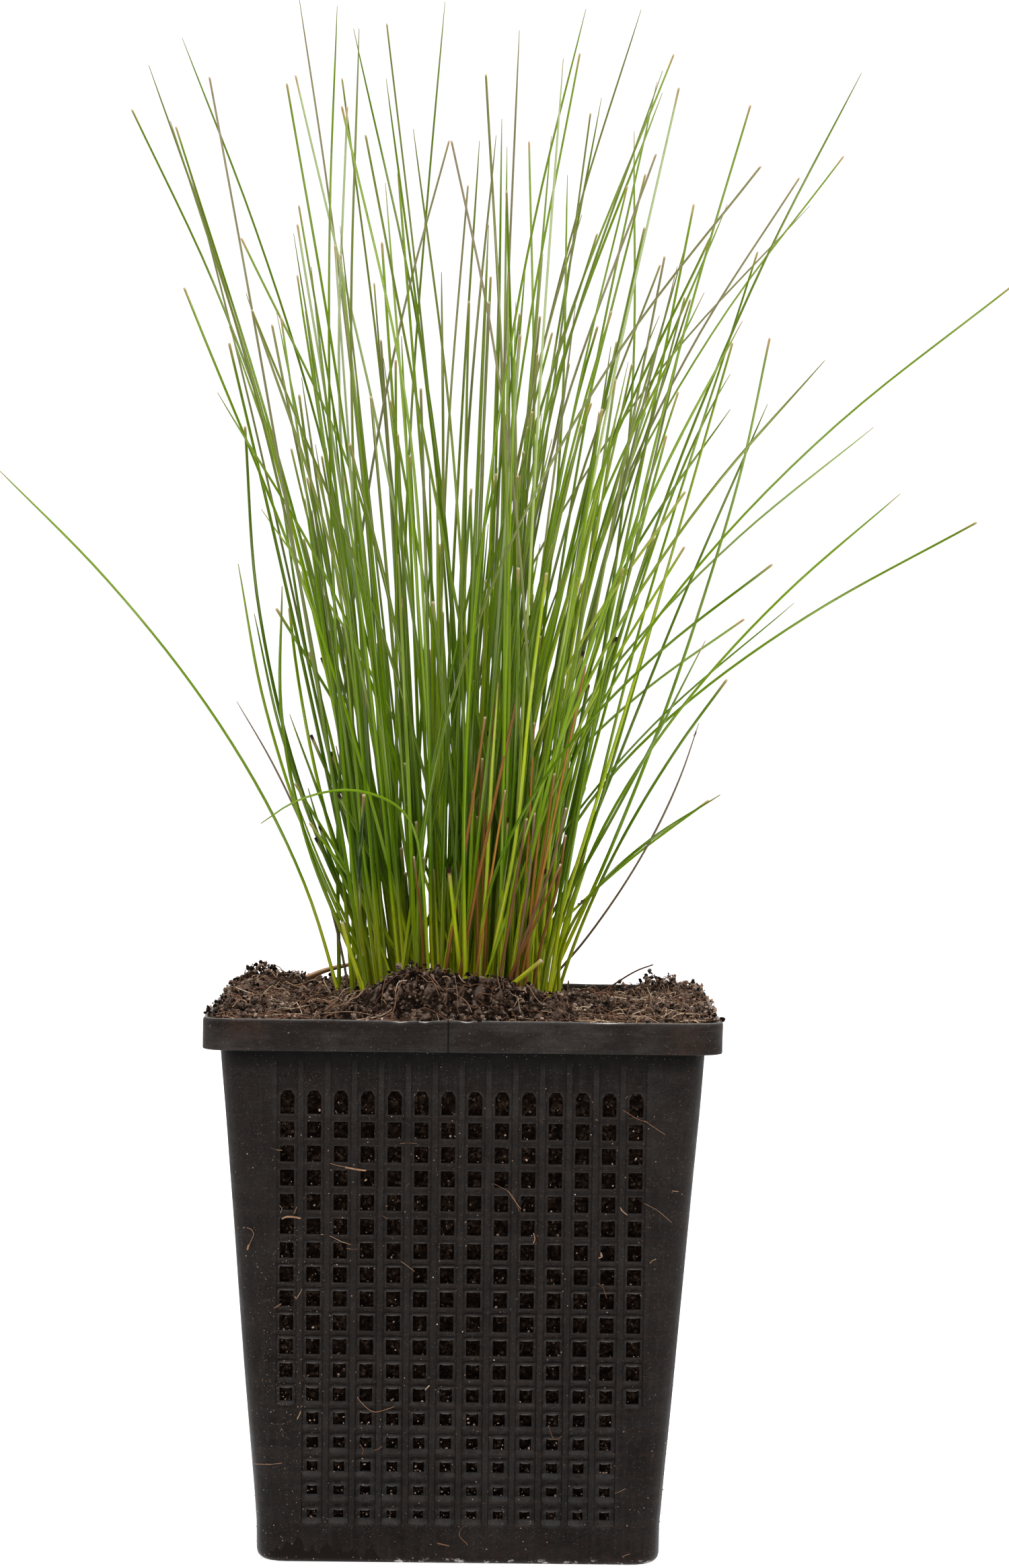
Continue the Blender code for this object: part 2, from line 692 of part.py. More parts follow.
def make_stems(parts):
    green = material("stem_green", (0.13, 0.27, 0.035), 0.45)
    dry = material("stem_dry", (0.20, 0.12, 0.06), 0.7)
    free = free_routes()
    tufts = tuft_routes()
    spaced = keep_apart([*free.values(), *tufts.values()])
    free = dict(zip(free, spaced))
    tufts = dict(zip(tufts, spaced[len(free) :]))
    for name, route in free.items():
        make_free_stem(f"stem_{name}", route, dry if name in DRY_STEMS else green, parts)
    make_free_stem("stem_arched", [mm(*point) for point in ARCHED_ROUTE], green, parts)
    for number, centre in enumerate(crown_places()):
        make_tuft(number, centre, tufts, green, parts)


def main():
    clear_scene()
    parts = new_collection("potted_fiber_optic_grass")
    cutters = new_collection("cutters")
    cutters.hide_render = True
    make_basket(parts, cutters)
    make_soil(parts, cutters)
    make_stems(parts)


main()
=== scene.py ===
"""Looks of the potted fiber optic grass: a square mesh basket of soil with a clump of thin round stems."""

import math
import random

import bpy
import numpy as np
from mathutils import Matrix, Vector, noise
from mathutils.geometry import delaunay_2d_cdt


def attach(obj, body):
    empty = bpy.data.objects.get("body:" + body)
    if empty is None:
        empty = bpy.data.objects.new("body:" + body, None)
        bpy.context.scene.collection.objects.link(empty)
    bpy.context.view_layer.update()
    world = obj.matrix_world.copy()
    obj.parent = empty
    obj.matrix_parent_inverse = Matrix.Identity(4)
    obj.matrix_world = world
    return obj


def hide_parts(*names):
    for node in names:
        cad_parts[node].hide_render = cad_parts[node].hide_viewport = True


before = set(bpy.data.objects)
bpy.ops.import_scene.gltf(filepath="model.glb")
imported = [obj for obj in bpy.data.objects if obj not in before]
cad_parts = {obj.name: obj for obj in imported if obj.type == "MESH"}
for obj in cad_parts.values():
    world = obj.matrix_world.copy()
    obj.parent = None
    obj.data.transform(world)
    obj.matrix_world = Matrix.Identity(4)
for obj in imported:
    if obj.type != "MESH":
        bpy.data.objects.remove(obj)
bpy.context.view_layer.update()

# Vectors of noise draw their offsets from this seed, so the soil is the same each run
NOISE_SEED = 7
noise.seed_set(NOISE_SEED)

# Sizes shared with the CAD model, in metres
GAP = 0.0003
BASKET_HEIGHT = 0.096
RIM_WIDTH = 0.090
RIM_CORNER = 0.004
RIM_WALL = 0.001
FOOT_WIDTH = 0.070
TOP_WIDTH = 0.0843
RIM_BASE = 0.0905
WALL = 0.0012
FLOOR = 0.0015
BODY_CORNER = 0.005
DRAIN_RADIUS = 0.004
DRAIN_OFFSET = 0.020
SOIL_LEVEL = 0.0944
CLUMP_CENTRE = (-0.003, 0.001)
PLATEAU_LEVEL = 0.0972
PLATEAU_REACH = (0.0215, 0.0195)
PLATEAU_EDGE = 1.12
PLATEAU_BLEND = 0.35
# Heaps of soil: x, y, rise and radius
HEAPS = [
    (-0.0385, 0.036, 0.0036, 0.0065), (-0.028, 0.033, 0.0026, 0.0085), (-0.015, 0.037, 0.0024, 0.0085),
    (0.0, 0.0385, 0.0022, 0.0085), (-0.042, 0.018, 0.0024, 0.012), (-0.042, -0.008, 0.002, 0.012),
    (-0.026, -0.025, 0.0022, 0.009), (-0.0115, -0.0275, 0.0072, 0.0075), (-0.0035, -0.0275, 0.0054, 0.007),
    (0.005, -0.0275, 0.0046, 0.007), (0.013, -0.026, 0.0042, 0.0075), (0.028, -0.01, 0.002, 0.009),
    (0.042, 0.01, 0.0022, 0.013), (0.042, -0.015, 0.0018, 0.011), (0.0378, 0.034, 0.003, 0.0065),
    (0.02, 0.036, -0.002, 0.007),
]
CROWN_BASE = PLATEAU_LEVEL + GAP
CROWN_HEIGHT = 0.0015
CROWN_RADIUS = 0.0033
CROWN_SPACING = 0.0066
CROWN_ROWS = (3, 4, 5, 4, 3)
FREE_STEM_STEPS = 5
TUFT_STEM_HEIGHTS = (0.36, 0.68, 1.0)
TUFT_FOOT_RISE = 0.004
DEPTH_CURVE = 1.2
MOST_SAG = 0.008

# View of the photograph: where the lens is, how it is turned, and its focal length in pixels
EYE = Vector((0.0065, -0.825, 0.1604))
PITCH_DOWN = math.radians(1.724)
ROLL = math.radians(0.62)
TURN = math.radians(-0.02)
LENS = 104.2
SENSOR = 36
PHOTO_SIZE = (1500, 2331)
FOCAL = LENS / SENSOR * PHOTO_SIZE[1]
LOOK = (
    Matrix.Rotation(TURN, 4, "Z")
    @ Matrix.Rotation(math.pi / 2 - PITCH_DOWN, 4, "X")
    @ Matrix.Rotation(ROLL, 4, "Z")
)

# The clump's half width and half depth at its foot, how each grows with height, and where tips stand in it
CLUMP_FOOT = (0.020, 0.016)
CLUMP_SPREAD = (0.29, 0.24)
TIP_REACH = 0.92
GOLDEN = 0.618034
FIRST_TIP = 0.31

# The tufts' stems that aren't listed
FILL_SEED = 11
FILL_HEIGHTS = (0.055, 0.135)
FILL_SPREAD = (0.75, 0.95)
FILL_FOOT = (0.018, 0.016)
FILL_BOW = 0.05

# How stems are kept apart
CLEARANCE = 0.0018
SPACING_FIRST = 0.004
SPACING_STEP = 0.003
SPACING_TOP = 0.285
SPACING_ROUNDS = 160
SPACING_PUSH = 0.3
FREE_RINGS = ((0.0182, 0.0165), (0.0203, 0.0186))
FREE_PLACES = 20
FREE_DEPTH = 0.030

# Stems as they look from the front, in mm: name, tip x and z, middle x and z, base x, depth of the tip
FREE_STEMS = [
    ("far_left", -86, 192, -58, 163, -22, -6), ("left_tall", -62, 257, -37, 200, -17, 9),
    ("left_thin", -59, 265, -37, 198, -16, -14), ("left_bowed", -53, 270, -34, 220, -9, 24),
    ("left_brown", -48, 263, -39, 217, -17, -30), ("left_dry", -42, 150, -34, 136, -17, 8),
    ("top_left", -32, 278, -25, 233, -9, 30), ("top_left_pale", -25, 276, -33, 238, -17, -18),
    ("top_middle", -5.5, 277, -9, 232, -12, 34), ("crossed_left", -4.5, 252, -20, 206, -20, 4),
    ("with_spikelet", -4, 252, 7, 206, 13, -34), ("top_right", 20, 276, 11, 242, 6, -40),
    ("top_right_thin", 30, 276, 21, 247, 8, 38), ("right_tall", 50, 259, 44, 239, 13, -32),
    ("diagonal", 52, 248, 30, 226, -9, -38), ("right_brown", 59, 246, 45, 225, 13, 24),
    ("far_right_tall", 70, 265, 52, 229, 12, -16), ("far_right_thin", 67, 250, 49, 226, 12, 34),
    ("right_hooked", 61, 241, 39, 223, 6, 44), ("right_thin", 49, 220, 35, 193, 12, -44),
    ("right_pale", 54, 217, 48, 190, 17, 14), ("right_bright", 64, 213, 49, 196, 11, -26),
    ("right_short", 47, 204, 34, 185, 12, 40), ("long_right", 98, 227, 55, 193, 12, -22),
    ("right_spray_thin", 73, 201, 49, 181, 9, 30), ("right_spray", 78, 189, 49, 162, 14, -6),
    ("right_spray_curved", 92, 184, 55, 166, 13, 10), ("right_low_upper", 55, 176, 39, 164, 8, -34),
    ("right_low_lower", 50, 166, 31, 158, 9, 26), ("right_low", 47, 155, 37, 141, 15, -12),
    ("right_low_dry", 42, 147, 32, 123, 17, 4), ("right_lowest", 46, 134, 31, 124, 15, -20),
]

# The tufts' stems in the same way, without a name or a depth
TUFT_STEMS = [
    (-55, 255, -44, 223, -15), (-54, 254, -40, 211, -14), (-42, 234, -31, 216, -7),
    (-41, 224, -34, 206, -12), (-44, 218, -35, 193, -17), (-44, 215, -39, 195, -18),
    (-46, 206, -33, 186, -7), (-41, 200, -39, 172, -18), (-42, 175, -38, 154, -20),
    (-39, 166, -35, 148, -18), (-35, 167, -30, 160, -12), (-34, 171, -35, 148, -21),
    (-38, 185, -28, 174, -6), (-34, 262, -27, 225, -12), (-24, 263, -19, 228, -7), (-22, 272, -9, 219, 1),
    (-21, 272, -24, 238, -17), (-16, 273, -11, 233, -1), (-16, 263, -12, 238, -2), (-24, 258, -14, 223, -7),
    (-23, 258, -25, 233, -16), (-11, 254, -7, 228, 1), (-1, 244, -4, 217, -4), (1, 252, -1, 217, -3),
    (2, 264, 6, 233, 10), (8, 272, 7, 245, 7), (5, 256, 5, 229, 6), (6, 251, 6, 229, 6),
    (4, 253, 0, 219, -1), (6, 243, 7, 217, 9), (10, 252, 11, 233, 13), (19, 268, 13, 236, 9),
    (16, 267, 14, 238, 12), (14, 253, 12, 226, 10), (17, 246, 17, 223, 13), (23, 260, 18, 233, 12),
    (36, 268, 24, 242, 8), (34, 265, 23, 239, 9), (33, 263, 26, 230, 13), (34, 261, 24, 236, 12),
    (37, 262, 29, 226, 14), (29, 254, 33, 225, 16), (33, 250, 27, 236, 12), (40, 241, 37, 223, 16),
    (46, 241, 39, 225, 15), (43, 235, 33, 215, 13), (34, 230, 28, 215, 13), (42, 225, 34, 210, 14),
    (54, 205, 47, 188, 16), (59, 169, 49, 161, 14), (43, 162, 35, 146, 14), (44, 133, 31, 123, 14),
    (39, 179, 32, 168, 13), (39, 189, 29, 177, 12), (-34, 187, -31, 168, -17), (-30, 187, -27, 168, -15),
    (-28, 193, -25, 180, -9), (-24, 196, -21, 180, -12), (-22, 197, -17, 180, -7), (-15, 196, -14, 180, -9),
    (-11, 195, -10, 180, -4), (-13, 177, -12, 162, -7), (-7, 179, -8, 162, -9), (-22, 160, -21, 149, -13),
    (0, 188, 0, 168, -1), (23, 189, 20, 174, 10), (14, 174, 12, 156, 8), (28, 175, 22, 156, 12),
    (27, 205, 22, 186, 10),
]
DRY_STEMS = ("left_dry", "right_low_dry")
# The arched stem's route in mm
ARCHED_ROUTE = [
    (-6.1, -17.0, 97.5), (-8.0, -20.5, 123.0), (-10.3, -24.0, 130.3), (-15.0, -27.5, 133.9),
    (-21.9, -29.5, 135.1), (-29.7, -31.0, 133.1), (-35.7, -32.0, 129.2),
]

# Helpers


def part_way(value, low, high):
    """How far the value is from low to high, kept between 0 and 1."""
    return min(1.0, max(0.0, (value - low) / (high - low)))


def bell(value, middle, reach):
    """A smooth bump: 1 at the middle, and next to nothing past twice the reach."""
    return math.exp(-(((value - middle) / reach) ** 2))


def within(value, limit):
    """The value kept between minus the limit and the limit."""
    return max(-limit, min(limit, value))


def join_rings(faces, first, second, gaps=()):
    """Faces between two closed rings with the same number of corners, save at the gaps."""
    for step in range(len(first)):
        if step not in gaps:
            after = (step + 1) % len(first)
            faces.append((first[step], first[after], second[after], second[step]))


def make_object(name, verts, faces, material, attributes=None, smooth=True):
    """A mesh object with its point attributes and one material."""
    mesh = bpy.data.meshes.new(name)
    mesh.from_pydata(np.asarray(verts).tolist(), [], faces)
    mesh.update()
    for key, values in (attributes or {}).items():
        values = np.asarray(values, dtype=np.float32)
        kind, field = ("FLOAT", "value") if values.ndim == 1 else ("FLOAT_VECTOR", "vector")
        mesh.attributes.new(key, kind, "POINT").data.foreach_set(field, values.ravel())
    mesh.materials.append(material)
    obj = bpy.data.objects.new(name, mesh)
    bpy.context.scene.collection.objects.link(obj)
    if smooth:
        mesh.shade_smooth()
    return obj


def place(obj, slot, *nodes):
    """Ties a piece to the frame and hides the CAD nodes that it stands for. The slot is not used."""
    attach(obj, "root")
    if nodes:
        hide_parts(*nodes)


# Materials


class Shader:
    """Builds one procedural material, node by node. Its colour is what has been laid on so far."""

    def __init__(self, name):
        """Starts an empty material."""
        self.material = bpy.data.materials.new(name)
        self.material.use_nodes = True
        self.tree = self.material.node_tree
        self.surface = self.tree.nodes["Principled BSDF"]
        self.colour = None

    def node(self, kind, inputs=None, **settings):
        """A new node with its inputs set or linked."""
        made = self.tree.nodes.new(kind)
        for key, value in settings.items():
            setattr(made, key, value)
        for key, value in (inputs or {}).items():
            self.set(made.inputs[key], value)
        return made

    def set(self, socket, value):
        """Links a socket to another, or gives it a value."""
        if isinstance(value, bpy.types.NodeSocket):
            self.tree.links.new(value, socket)
        else:
            socket.default_value = value

    def position(self, scale=(1, 1, 1)):
        """Object coordinates in millimetres, stretched by this scale."""
        where = self.node("ShaderNodeTexCoord").outputs["Object"]
        size = [1000 * value for value in scale]
        return self.node("ShaderNodeVectorMath", {0: where, 1: size}, operation="MULTIPLY").outputs[0]

    def parts(self, vector):
        """The X, Y and Z of a vector."""
        return self.node("ShaderNodeSeparateXYZ", {0: vector}).outputs

    def noise(self, vector, scale, detail=3.0, roughness=0.55):
        """Soft cloudy noise from 0 to 1."""
        inputs = {"Vector": vector, "Scale": scale, "Detail": detail, "Roughness": roughness}
        return self.node("ShaderNodeTexNoise", inputs).outputs["Fac"]

    def cells(self, vector, scale):
        """Voronoi cells: the node's outputs."""
        return self.node("ShaderNodeTexVoronoi", {"Vector": vector, "Scale": scale}).outputs

    def ramp(self, value, *stops):
        """Colours or greys at these positions."""
        made = self.node("ShaderNodeValToRGB", {"Fac": value})
        elements = made.color_ramp.elements
        while len(elements) < len(stops):
            elements.new(0.5)
        for element, (position, *colour) in zip(elements, stops):
            element.position = position
            element.color = (*(colour if len(colour) == 3 else colour * 3), 1)
        return made.outputs["Color"]

    def span(self, value, low, high, to_low=0.0, to_high=1.0):
        """The value's range low to high, brought to another range and kept within it."""
        ends = {"From Min": low, "From Max": high, "To Min": to_low, "To Max": to_high}
        return self.node("ShaderNodeMapRange", {"Value": value, **ends}).outputs["Result"]

    def mix(self, share, first, second):
        """The first colour with this share of the second."""
        made = self.node("ShaderNodeMix", data_type="RGBA")
        for socket, value in zip((made.inputs[0], *made.inputs[6:8]), (share, first, second)):
            self.set(socket, (*value, 1) if isinstance(value, tuple) else value)
        return made.outputs[2]

    def lay(self, share, tone):
        """Lays this share of a tone over the colour so far."""
        self.colour = self.mix(share, self.colour, tone)

    def math(self, operation, first, second=0.0):
        """One sum, product or the like."""
        return self.node("ShaderNodeMath", {0: first, 1: second}, operation=operation).outputs[0]

    def times(self, first, *others):
        """The product of two or more values."""
        for other in others:
            first = self.math("MULTIPLY", first, other)
        return first

    def warp(self, vector, scale, amount):
        """The coordinates shifted by a coarse noise, so that dots aren't round."""
        shift = self.node("ShaderNodeTexNoise", {"Vector": vector, "Scale": scale}).outputs["Color"]
        inputs = {0: shift, 1: (amount,) * 3, 2: vector}
        return self.node("ShaderNodeVectorMath", inputs, operation="MULTIPLY_ADD").outputs[0]

    def attribute(self, name, output="Fac"):
        """A value that the mesh carries."""
        return self.node("ShaderNodeAttribute", attribute_name=name).outputs[output]

    def bump(self, height, strength, distance, normal=None):
        """A normal tilted by a height, on top of another normal if there is one."""
        inputs = {"Height": height, "Strength": strength, "Distance": distance}
        if normal is not None:
            inputs["Normal"] = normal
        return self.node("ShaderNodeBump", inputs).outputs["Normal"]

    def finish(self, **sockets):
        """Sets the surface's sockets and gives the material."""
        self.set(self.surface.inputs["Base Color"], self.colour)
        for key, value in sockets.items():
            self.set(self.surface.inputs[key.replace("_", " ")], value)
        return self.material


def plastic_material():
    """Worn black plastic with dust, scratches, soil stains and scuffed edges, painted highlight on edges and
    ledges, and painted shade under the rim.
    """
    s = Shader("basket_plastic")
    where = s.position()
    axes = s.parts(where)
    x, y, z = axes["X"], axes["Y"], axes["Z"]
    wear = s.attribute("wear")
    on_rim = s.span(z, 90.35, 90.5)
    cloudy = s.noise(where, 0.09, 4)
    s.colour = s.ramp(cloudy, (0.32, 0.0030, 0.0023, 0.0020), (0.68, 0.0085, 0.0066, 0.0058))
    streaks = s.noise(s.position((3, 3, 0.12)), 0.35, 3)
    off_rim = s.math("SUBTRACT", 1.0, on_rim)
    s.lay(s.times(s.span(streaks, 0.48, 0.74, 0, 0.5), off_rim), (0.018, 0.0172, 0.0168))
    # The rim and the plain strips beside the lattice are paler than the lattice's panel, the strips more so
    # higher up
    from_middle = s.math("MINIMUM", s.math("ABSOLUTE", x), s.math("ABSOLUTE", y))
    margin = s.times(s.span(from_middle, 32.0, 34.5), s.span(z, 5, 70, 0.25, 1), 0.28)
    s.lay(s.math("MAXIMUM", margin, s.times(on_rim, 0.42)), (0.0228, 0.0180, 0.0162))
    dust = s.noise(s.position((0.5, 0.5, 1.1)), 0.16, 6, 0.75)
    s.lay(s.times(s.span(dust, 0.47, 0.70, 0, 0.42), s.span(on_rim, 0, 1, 0.3, 1)), (0.075, 0.066, 0.062))
    long_scratches = s.noise(s.position((0.12, 0.12, 11)), 0.6, 3, 0.6)
    s.lay(s.times(s.span(long_scratches, 0.60, 0.74, 0, 0.55), on_rim), (0.080, 0.072, 0.068))
    scratches = s.noise(s.position((1, 1, 12)), 0.45, 5, 0.7)
    s.lay(s.span(scratches, 0.57, 0.78, 0, 0.6), (0.046, 0.039, 0.036))
    speckle = s.noise(where, 2.4, 3, 0.75)
    s.lay(s.span(speckle, 0.56, 0.74, 0, 0.42), (0.060, 0.053, 0.050))
    s.lay(s.span(speckle, 0.46, 0.30, 0, 0.6), (0.0022, 0.0017, 0.0015))
    film = s.noise(where, 0.35, 6, 0.7)
    s.lay(s.times(s.span(film, 0.50, 0.78), 0.45), (0.026, 0.016, 0.012))
    stained = s.times(s.attribute("stain"), s.span(s.noise(where, 0.8, 5, 0.7), 0.35, 0.65))
    s.lay(stained, (0.040, 0.021, 0.013))
    # Edges painted paler: partly wear, partly painted highlight where hole lips, rib tops and the rim's edges
    # catch light
    rubbed_and_lit = s.times(wear, s.span(s.noise(where, 1.3, 4, 0.7), 0.28, 0.62, 0.3, 1))
    rubbed_and_lit_stops = (0.24, 0.055, 0.050, 0.047), (0.6, 0.25, 0.23, 0.215), (1, 0.75, 0.72, 0.70)
    rubbed_and_lit_tone = s.ramp(s.times(wear, 0.6), *rubbed_and_lit_stops)
    s.lay(s.math("MINIMUM", rubbed_and_lit, 1.0), rubbed_and_lit_tone)
    # The ledges that face up in the low rows are paler: partly dust, partly painted highlight where they face
    # up
    facing_up = s.parts(s.node("ShaderNodeNewGeometry").outputs["Normal"])["Z"]
    ledges = s.times(s.span(facing_up, 0.12, 0.5, 0, 0.5), s.span(z, 9, 40, 1, 0.1))
    s.lay(s.times(ledges, s.span(s.noise(where, 0.22, 3), 0.40, 0.60, 0.1, 1)), (0.070, 0.068, 0.067))
    # A dark seam down the front of the rim
    front = s.span(y, -30, -33)
    from_seam = s.math("ABSOLUTE", s.math("ADD", x, 2.45))
    s.lay(s.times(s.span(from_seam, 0.08, 0.22, 0.9, 0), on_rim, front), (0.0012, 0.0009, 0.0008))
    # Pale scuffs along the bottom lip
    chips = s.noise(s.position((1, 1, 1.5)), 0.55, 4, 0.7)
    s.lay(s.times(s.span(z, 0.5, 1.1, 1, 0), s.span(chips, 0.55, 0.63)), (0.42, 0.39, 0.36))
    # A wet soil stain on the front above the lip, with one narrow peak
    level = s.span(s.noise(s.position((1, 0, 0)), 0.32, 4, 0.65), 0.35, 0.65, 0.6, 4.4)
    from_peak = s.math("POWER", s.math("ABSOLUTE", s.math("ADD", x, 27.9)), 1.5)
    level = s.math("ADD", level, s.times(s.math("POWER", 2.718, s.times(from_peak, -1.6)), 2.6))
    level = s.times(level, s.times(s.span(x, -35.5, -33), s.span(x, -12, -15)))
    s.lay(s.times(front, s.span(s.math("SUBTRACT", level, z), 0.0, 0.25)), (0.0080, 0.0042, 0.0026))
    # Painted shade in a band just under the rim
    s.lay(s.times(s.span(z, 86.8, 89.7, 0, 0.95), s.span(z, 90.5, 90.3)), (0.0006, 0.0004, 0.0003))
    # Dust and specks of soil
    for scale, size, share, tone in (
        (0.55, 0.07, 0.45, (0.30, 0.21, 0.15)),
        (1.1, 0.11, 0.66, (0.14, 0.080, 0.048)),
        (2.3, 0.16, 0.62, (0.12, 0.090, 0.072)),
        (0.24, 0.035, 0.5, (0.62, 0.56, 0.50)),
    ):
        dots = s.cells(s.warp(where, 0.9, 0.5), scale)
        near = s.span(dots["Distance"], size * 0.7, size, 1, 0)
        s.lay(s.times(near, s.span(dots["Color"], share, share + 0.02)), tone)
    roughness = s.times(s.span(film, 0.3, 0.75, 0.42, 0.62), s.span(z, 12, 42, 0.62, 1))
    normal = s.bump(s.noise(where, 3.2, 4, 0.65), 0.2, 0.0002)
    normal = s.bump(scratches, 0.15, 0.0002, normal)
    return s.finish(Roughness=roughness, Normal=normal, Specular_IOR_Level=0.08)


def soil_material():
    """Dark compost: near-black crumbs with reddish and tan flecks."""
    s = Shader("soil_crumbs")
    where = s.position()
    flecks = s.ramp(
        s.cells(s.warp(where, 1.5, 0.4), 2.1)["Color"],
        (0.0, 0.006, 0.0026, 0.0013), (0.30, 0.020, 0.0100, 0.0060), (0.58, 0.075, 0.043, 0.028),
        (0.82, 0.200, 0.125, 0.084), (1.0, 0.60, 0.43, 0.30),
    )
    clods = s.span(s.noise(where, 0.8, 4, 0.7), 0.40, 0.58, 0.12, 1)
    s.colour = s.mix(clods, (0.010, 0.0045, 0.0025), flecks)
    # Painted shade: the soil's sides behind the walls are darker below about 91 mm
    s.lay(s.span(s.parts(where)["Z"], 87, 91, 0.62, 0), (0.004, 0.0018, 0.0010))
    # The tone that the mesh carries: partly each crumb's own random tone, partly painted shade in hollows and
    # gaps and painted light on tops and at the right
    tone = s.attribute("tone")
    s.lay(s.span(tone, -1, 0, 0.9, 0), (0.004, 0.0015, 0.0007))
    s.lay(s.span(tone, 0, 1), (0.88, 0.625, 0.490))
    normal = s.bump(s.noise(where, 3.0, 6, 0.75), 0.9, 0.0006)
    normal = s.bump(s.cells(where, 1.9)["Distance"], 0.7, 0.0005, normal)
    return s.finish(Roughness=0.93, Normal=normal, Specular_IOR_Level=0.08)


def fibre_material():
    """Dry roots and threads, tan to reddish brown."""
    s = Shader("dry_fibre")
    s.colour = s.ramp(
        s.attribute("tint"),
        (0.0, 0.070, 0.026, 0.012), (0.4, 0.25, 0.115, 0.058), (0.8, 0.50, 0.31, 0.185),
        (1.0, 0.72, 0.58, 0.43),
    )
    s.lay(s.span(s.noise(s.position(), 1.2, 3), 0.35, 0.7, 0, 0.5), (0.09, 0.045, 0.024))
    return s.finish(Roughness=0.8, Specular_IOR_Level=0.3)


def stem_material(name, low, high, foot, edge, rib_and_highlight, tip, rim_light_colour):
    """A round stem: colour by height and stem with a paler foot partly painted as light, long streaks with
    pale ones partly painted highlight, darker sides and paler sides painted as rim light, a brown cut tip.
    """
    s = Shader(name)
    height = s.parts(s.position())["Z"]
    tint = s.attribute("tint")
    from_tip = s.attribute("from_tip")
    blunt = s.attribute("blunt")
    s.colour = s.mix(s.span(height, 122, 222), s.ramp(s.attribute("pale"), *low), s.ramp(tint, *high))
    # The paler foot: partly the stems' own paler base, partly painted light on the lower stems
    lit_foot_share = s.span(tint, 0.0, 1.0, 0.15, 0.95)
    s.lay(s.math("SUBTRACT", lit_foot_share, s.times(s.span(height, 98, 120), lit_foot_share)), foot)
    # Streaks run the length of the stem, and differ from stem to stem
    sides = s.parts(s.attribute("around", "Vector"))
    run = s.node("ShaderNodeCombineXYZ")
    s.set(run.inputs["X"], s.times(sides["X"], 1.1))
    s.set(run.inputs["Y"], s.times(sides["Y"], 1.1))
    s.set(run.inputs["Z"], s.math("ADD", s.times(s.attribute("along"), 2.5), s.times(tint, 40)))
    streak = s.noise(run.outputs[0], 1.6, 4, 0.6)
    s.lay(s.span(streak, 0.50, 0.70, 0, 0.78), edge)
    # Pale streaks: partly paler ribs, partly painted highlight
    s.lay(s.span(s.noise(run.outputs[0], 2.1, 2, 0.5), 0.56, 0.70, 0, 0.5), rib_and_highlight)
    # Painted rim light: the sides that face left and right are paler, more so higher up
    sideways = s.math("ABSOLUTE", sides["X"])
    s.lay(s.times(s.span(sideways, 0.72, 0.98), s.span(height, 150, 265, 0.0, 0.72)), rim_light_colour)
    s.lay(s.span(s.noise(s.position((1, 1, 0.35)), 0.55, 4, 0.6), 0.62, 0.78, 0, 0.4), edge)
    s.lay(s.times(s.span(from_tip, 0.0, 4.0, 1, 0), s.span(tint, 0.2, 0.8, 0.3, 1)), tip)
    # Cut tips: pale, or dark where they were cut long ago
    dark_cut = s.span(blunt, 1, 2)
    cut = s.times(s.span(from_tip, 0.05, s.span(dark_cut, 0, 1, 0.45, 1.3), 1, 0), blunt)
    s.lay(s.math("MINIMUM", cut, 1.0), s.mix(dark_cut, (0.58, 0.46, 0.31), (0.030, 0.014, 0.007)))
    roughness = s.span(streak, 0.3, 0.7, 0.38, 0.55)
    return s.finish(Roughness=roughness, Normal=s.bump(streak, 0.25, 0.0002), Specular_IOR_Level=0.03)


# Basket

COLUMNS = 14
ROWS = 18
# Rows from this one down have no openings in the outer columns
WIDE_ROWS = 13
PITCH_X = 0.00465
PITCH_Z = 0.00424375
FIRST_ROW_Z = 0.0813
SECOND_ROW_Z = 0.0765
HOLE = (0.00245, 0.00290)
LOW_HOLE = (0.00172, 0.00160)
ARCH_HEIGHT = 0.0042
CHANNEL = 0.00022
LEDGE = 0.00030
# Height up to which the foot's edge is rounded, and how far it goes in
FOOT_ROUND = (0.0014, 0.0010)
# The lowest band, up to this height, is upright
BAND_TOP = 0.0062
# The outer columns are squeezed in below this height, and columns past this distance from the middle
SQUEEZE_BELOW = 0.0285
SQUEEZE_PAST = 6 * PITCH_X
CORNER_CUTS = 4
DRAIN_SIDES = 20

# Parts of one column from left to right, and how far each is from the column's middle
COLUMN_PARTS = (
    ("shoulder", -0.00186), ("foot", -0.00170), ("edge", -HOLE[0] / 2), ("inner", -0.00045),
    ("inner", 0.00045), ("edge", HOLE[0] / 2), ("foot", 0.00170), ("shoulder", 0.00186),
)

# The collar rim's rings: half width, corner, height and how pale the edge is painted, partly wear and partly
# painted highlight
RIM_PROFILE = [
    (0.0447, 0.0042, 0.09045, 0.1), (0.04495, 0.0041, 0.09055, 0.3), (0.0450, 0.0040, 0.0908, 0.1),
    (0.0450, 0.0040, 0.0918, 0.0), (0.0450, 0.0040, 0.0935, 0.0), (0.0450, 0.0040, 0.0955, 0.0),
    (0.04492, 0.0040, 0.09583, 0.5), (0.04475, 0.0038, 0.0960, 0.85), (0.0443, 0.0034, 0.0960, 0.8),
    (0.0441, 0.0031, 0.09560, 0.4), (0.0440, 0.0030, 0.0945, 0.1), (0.0440, 0.0030, 0.0920, 0.0),
    (0.0440, 0.0030, 0.0917, 0.0),
]

# Dents in the front of the rim: where along it, how deep and how wide
RIM_DENTS = (
    (-0.0106, 0.00035, 0.0016), (-0.0066, 0.00028, 0.0011), (0.0008, 0.00030, 0.0011),
    (0.0250, 0.00012, 0.0040),
)


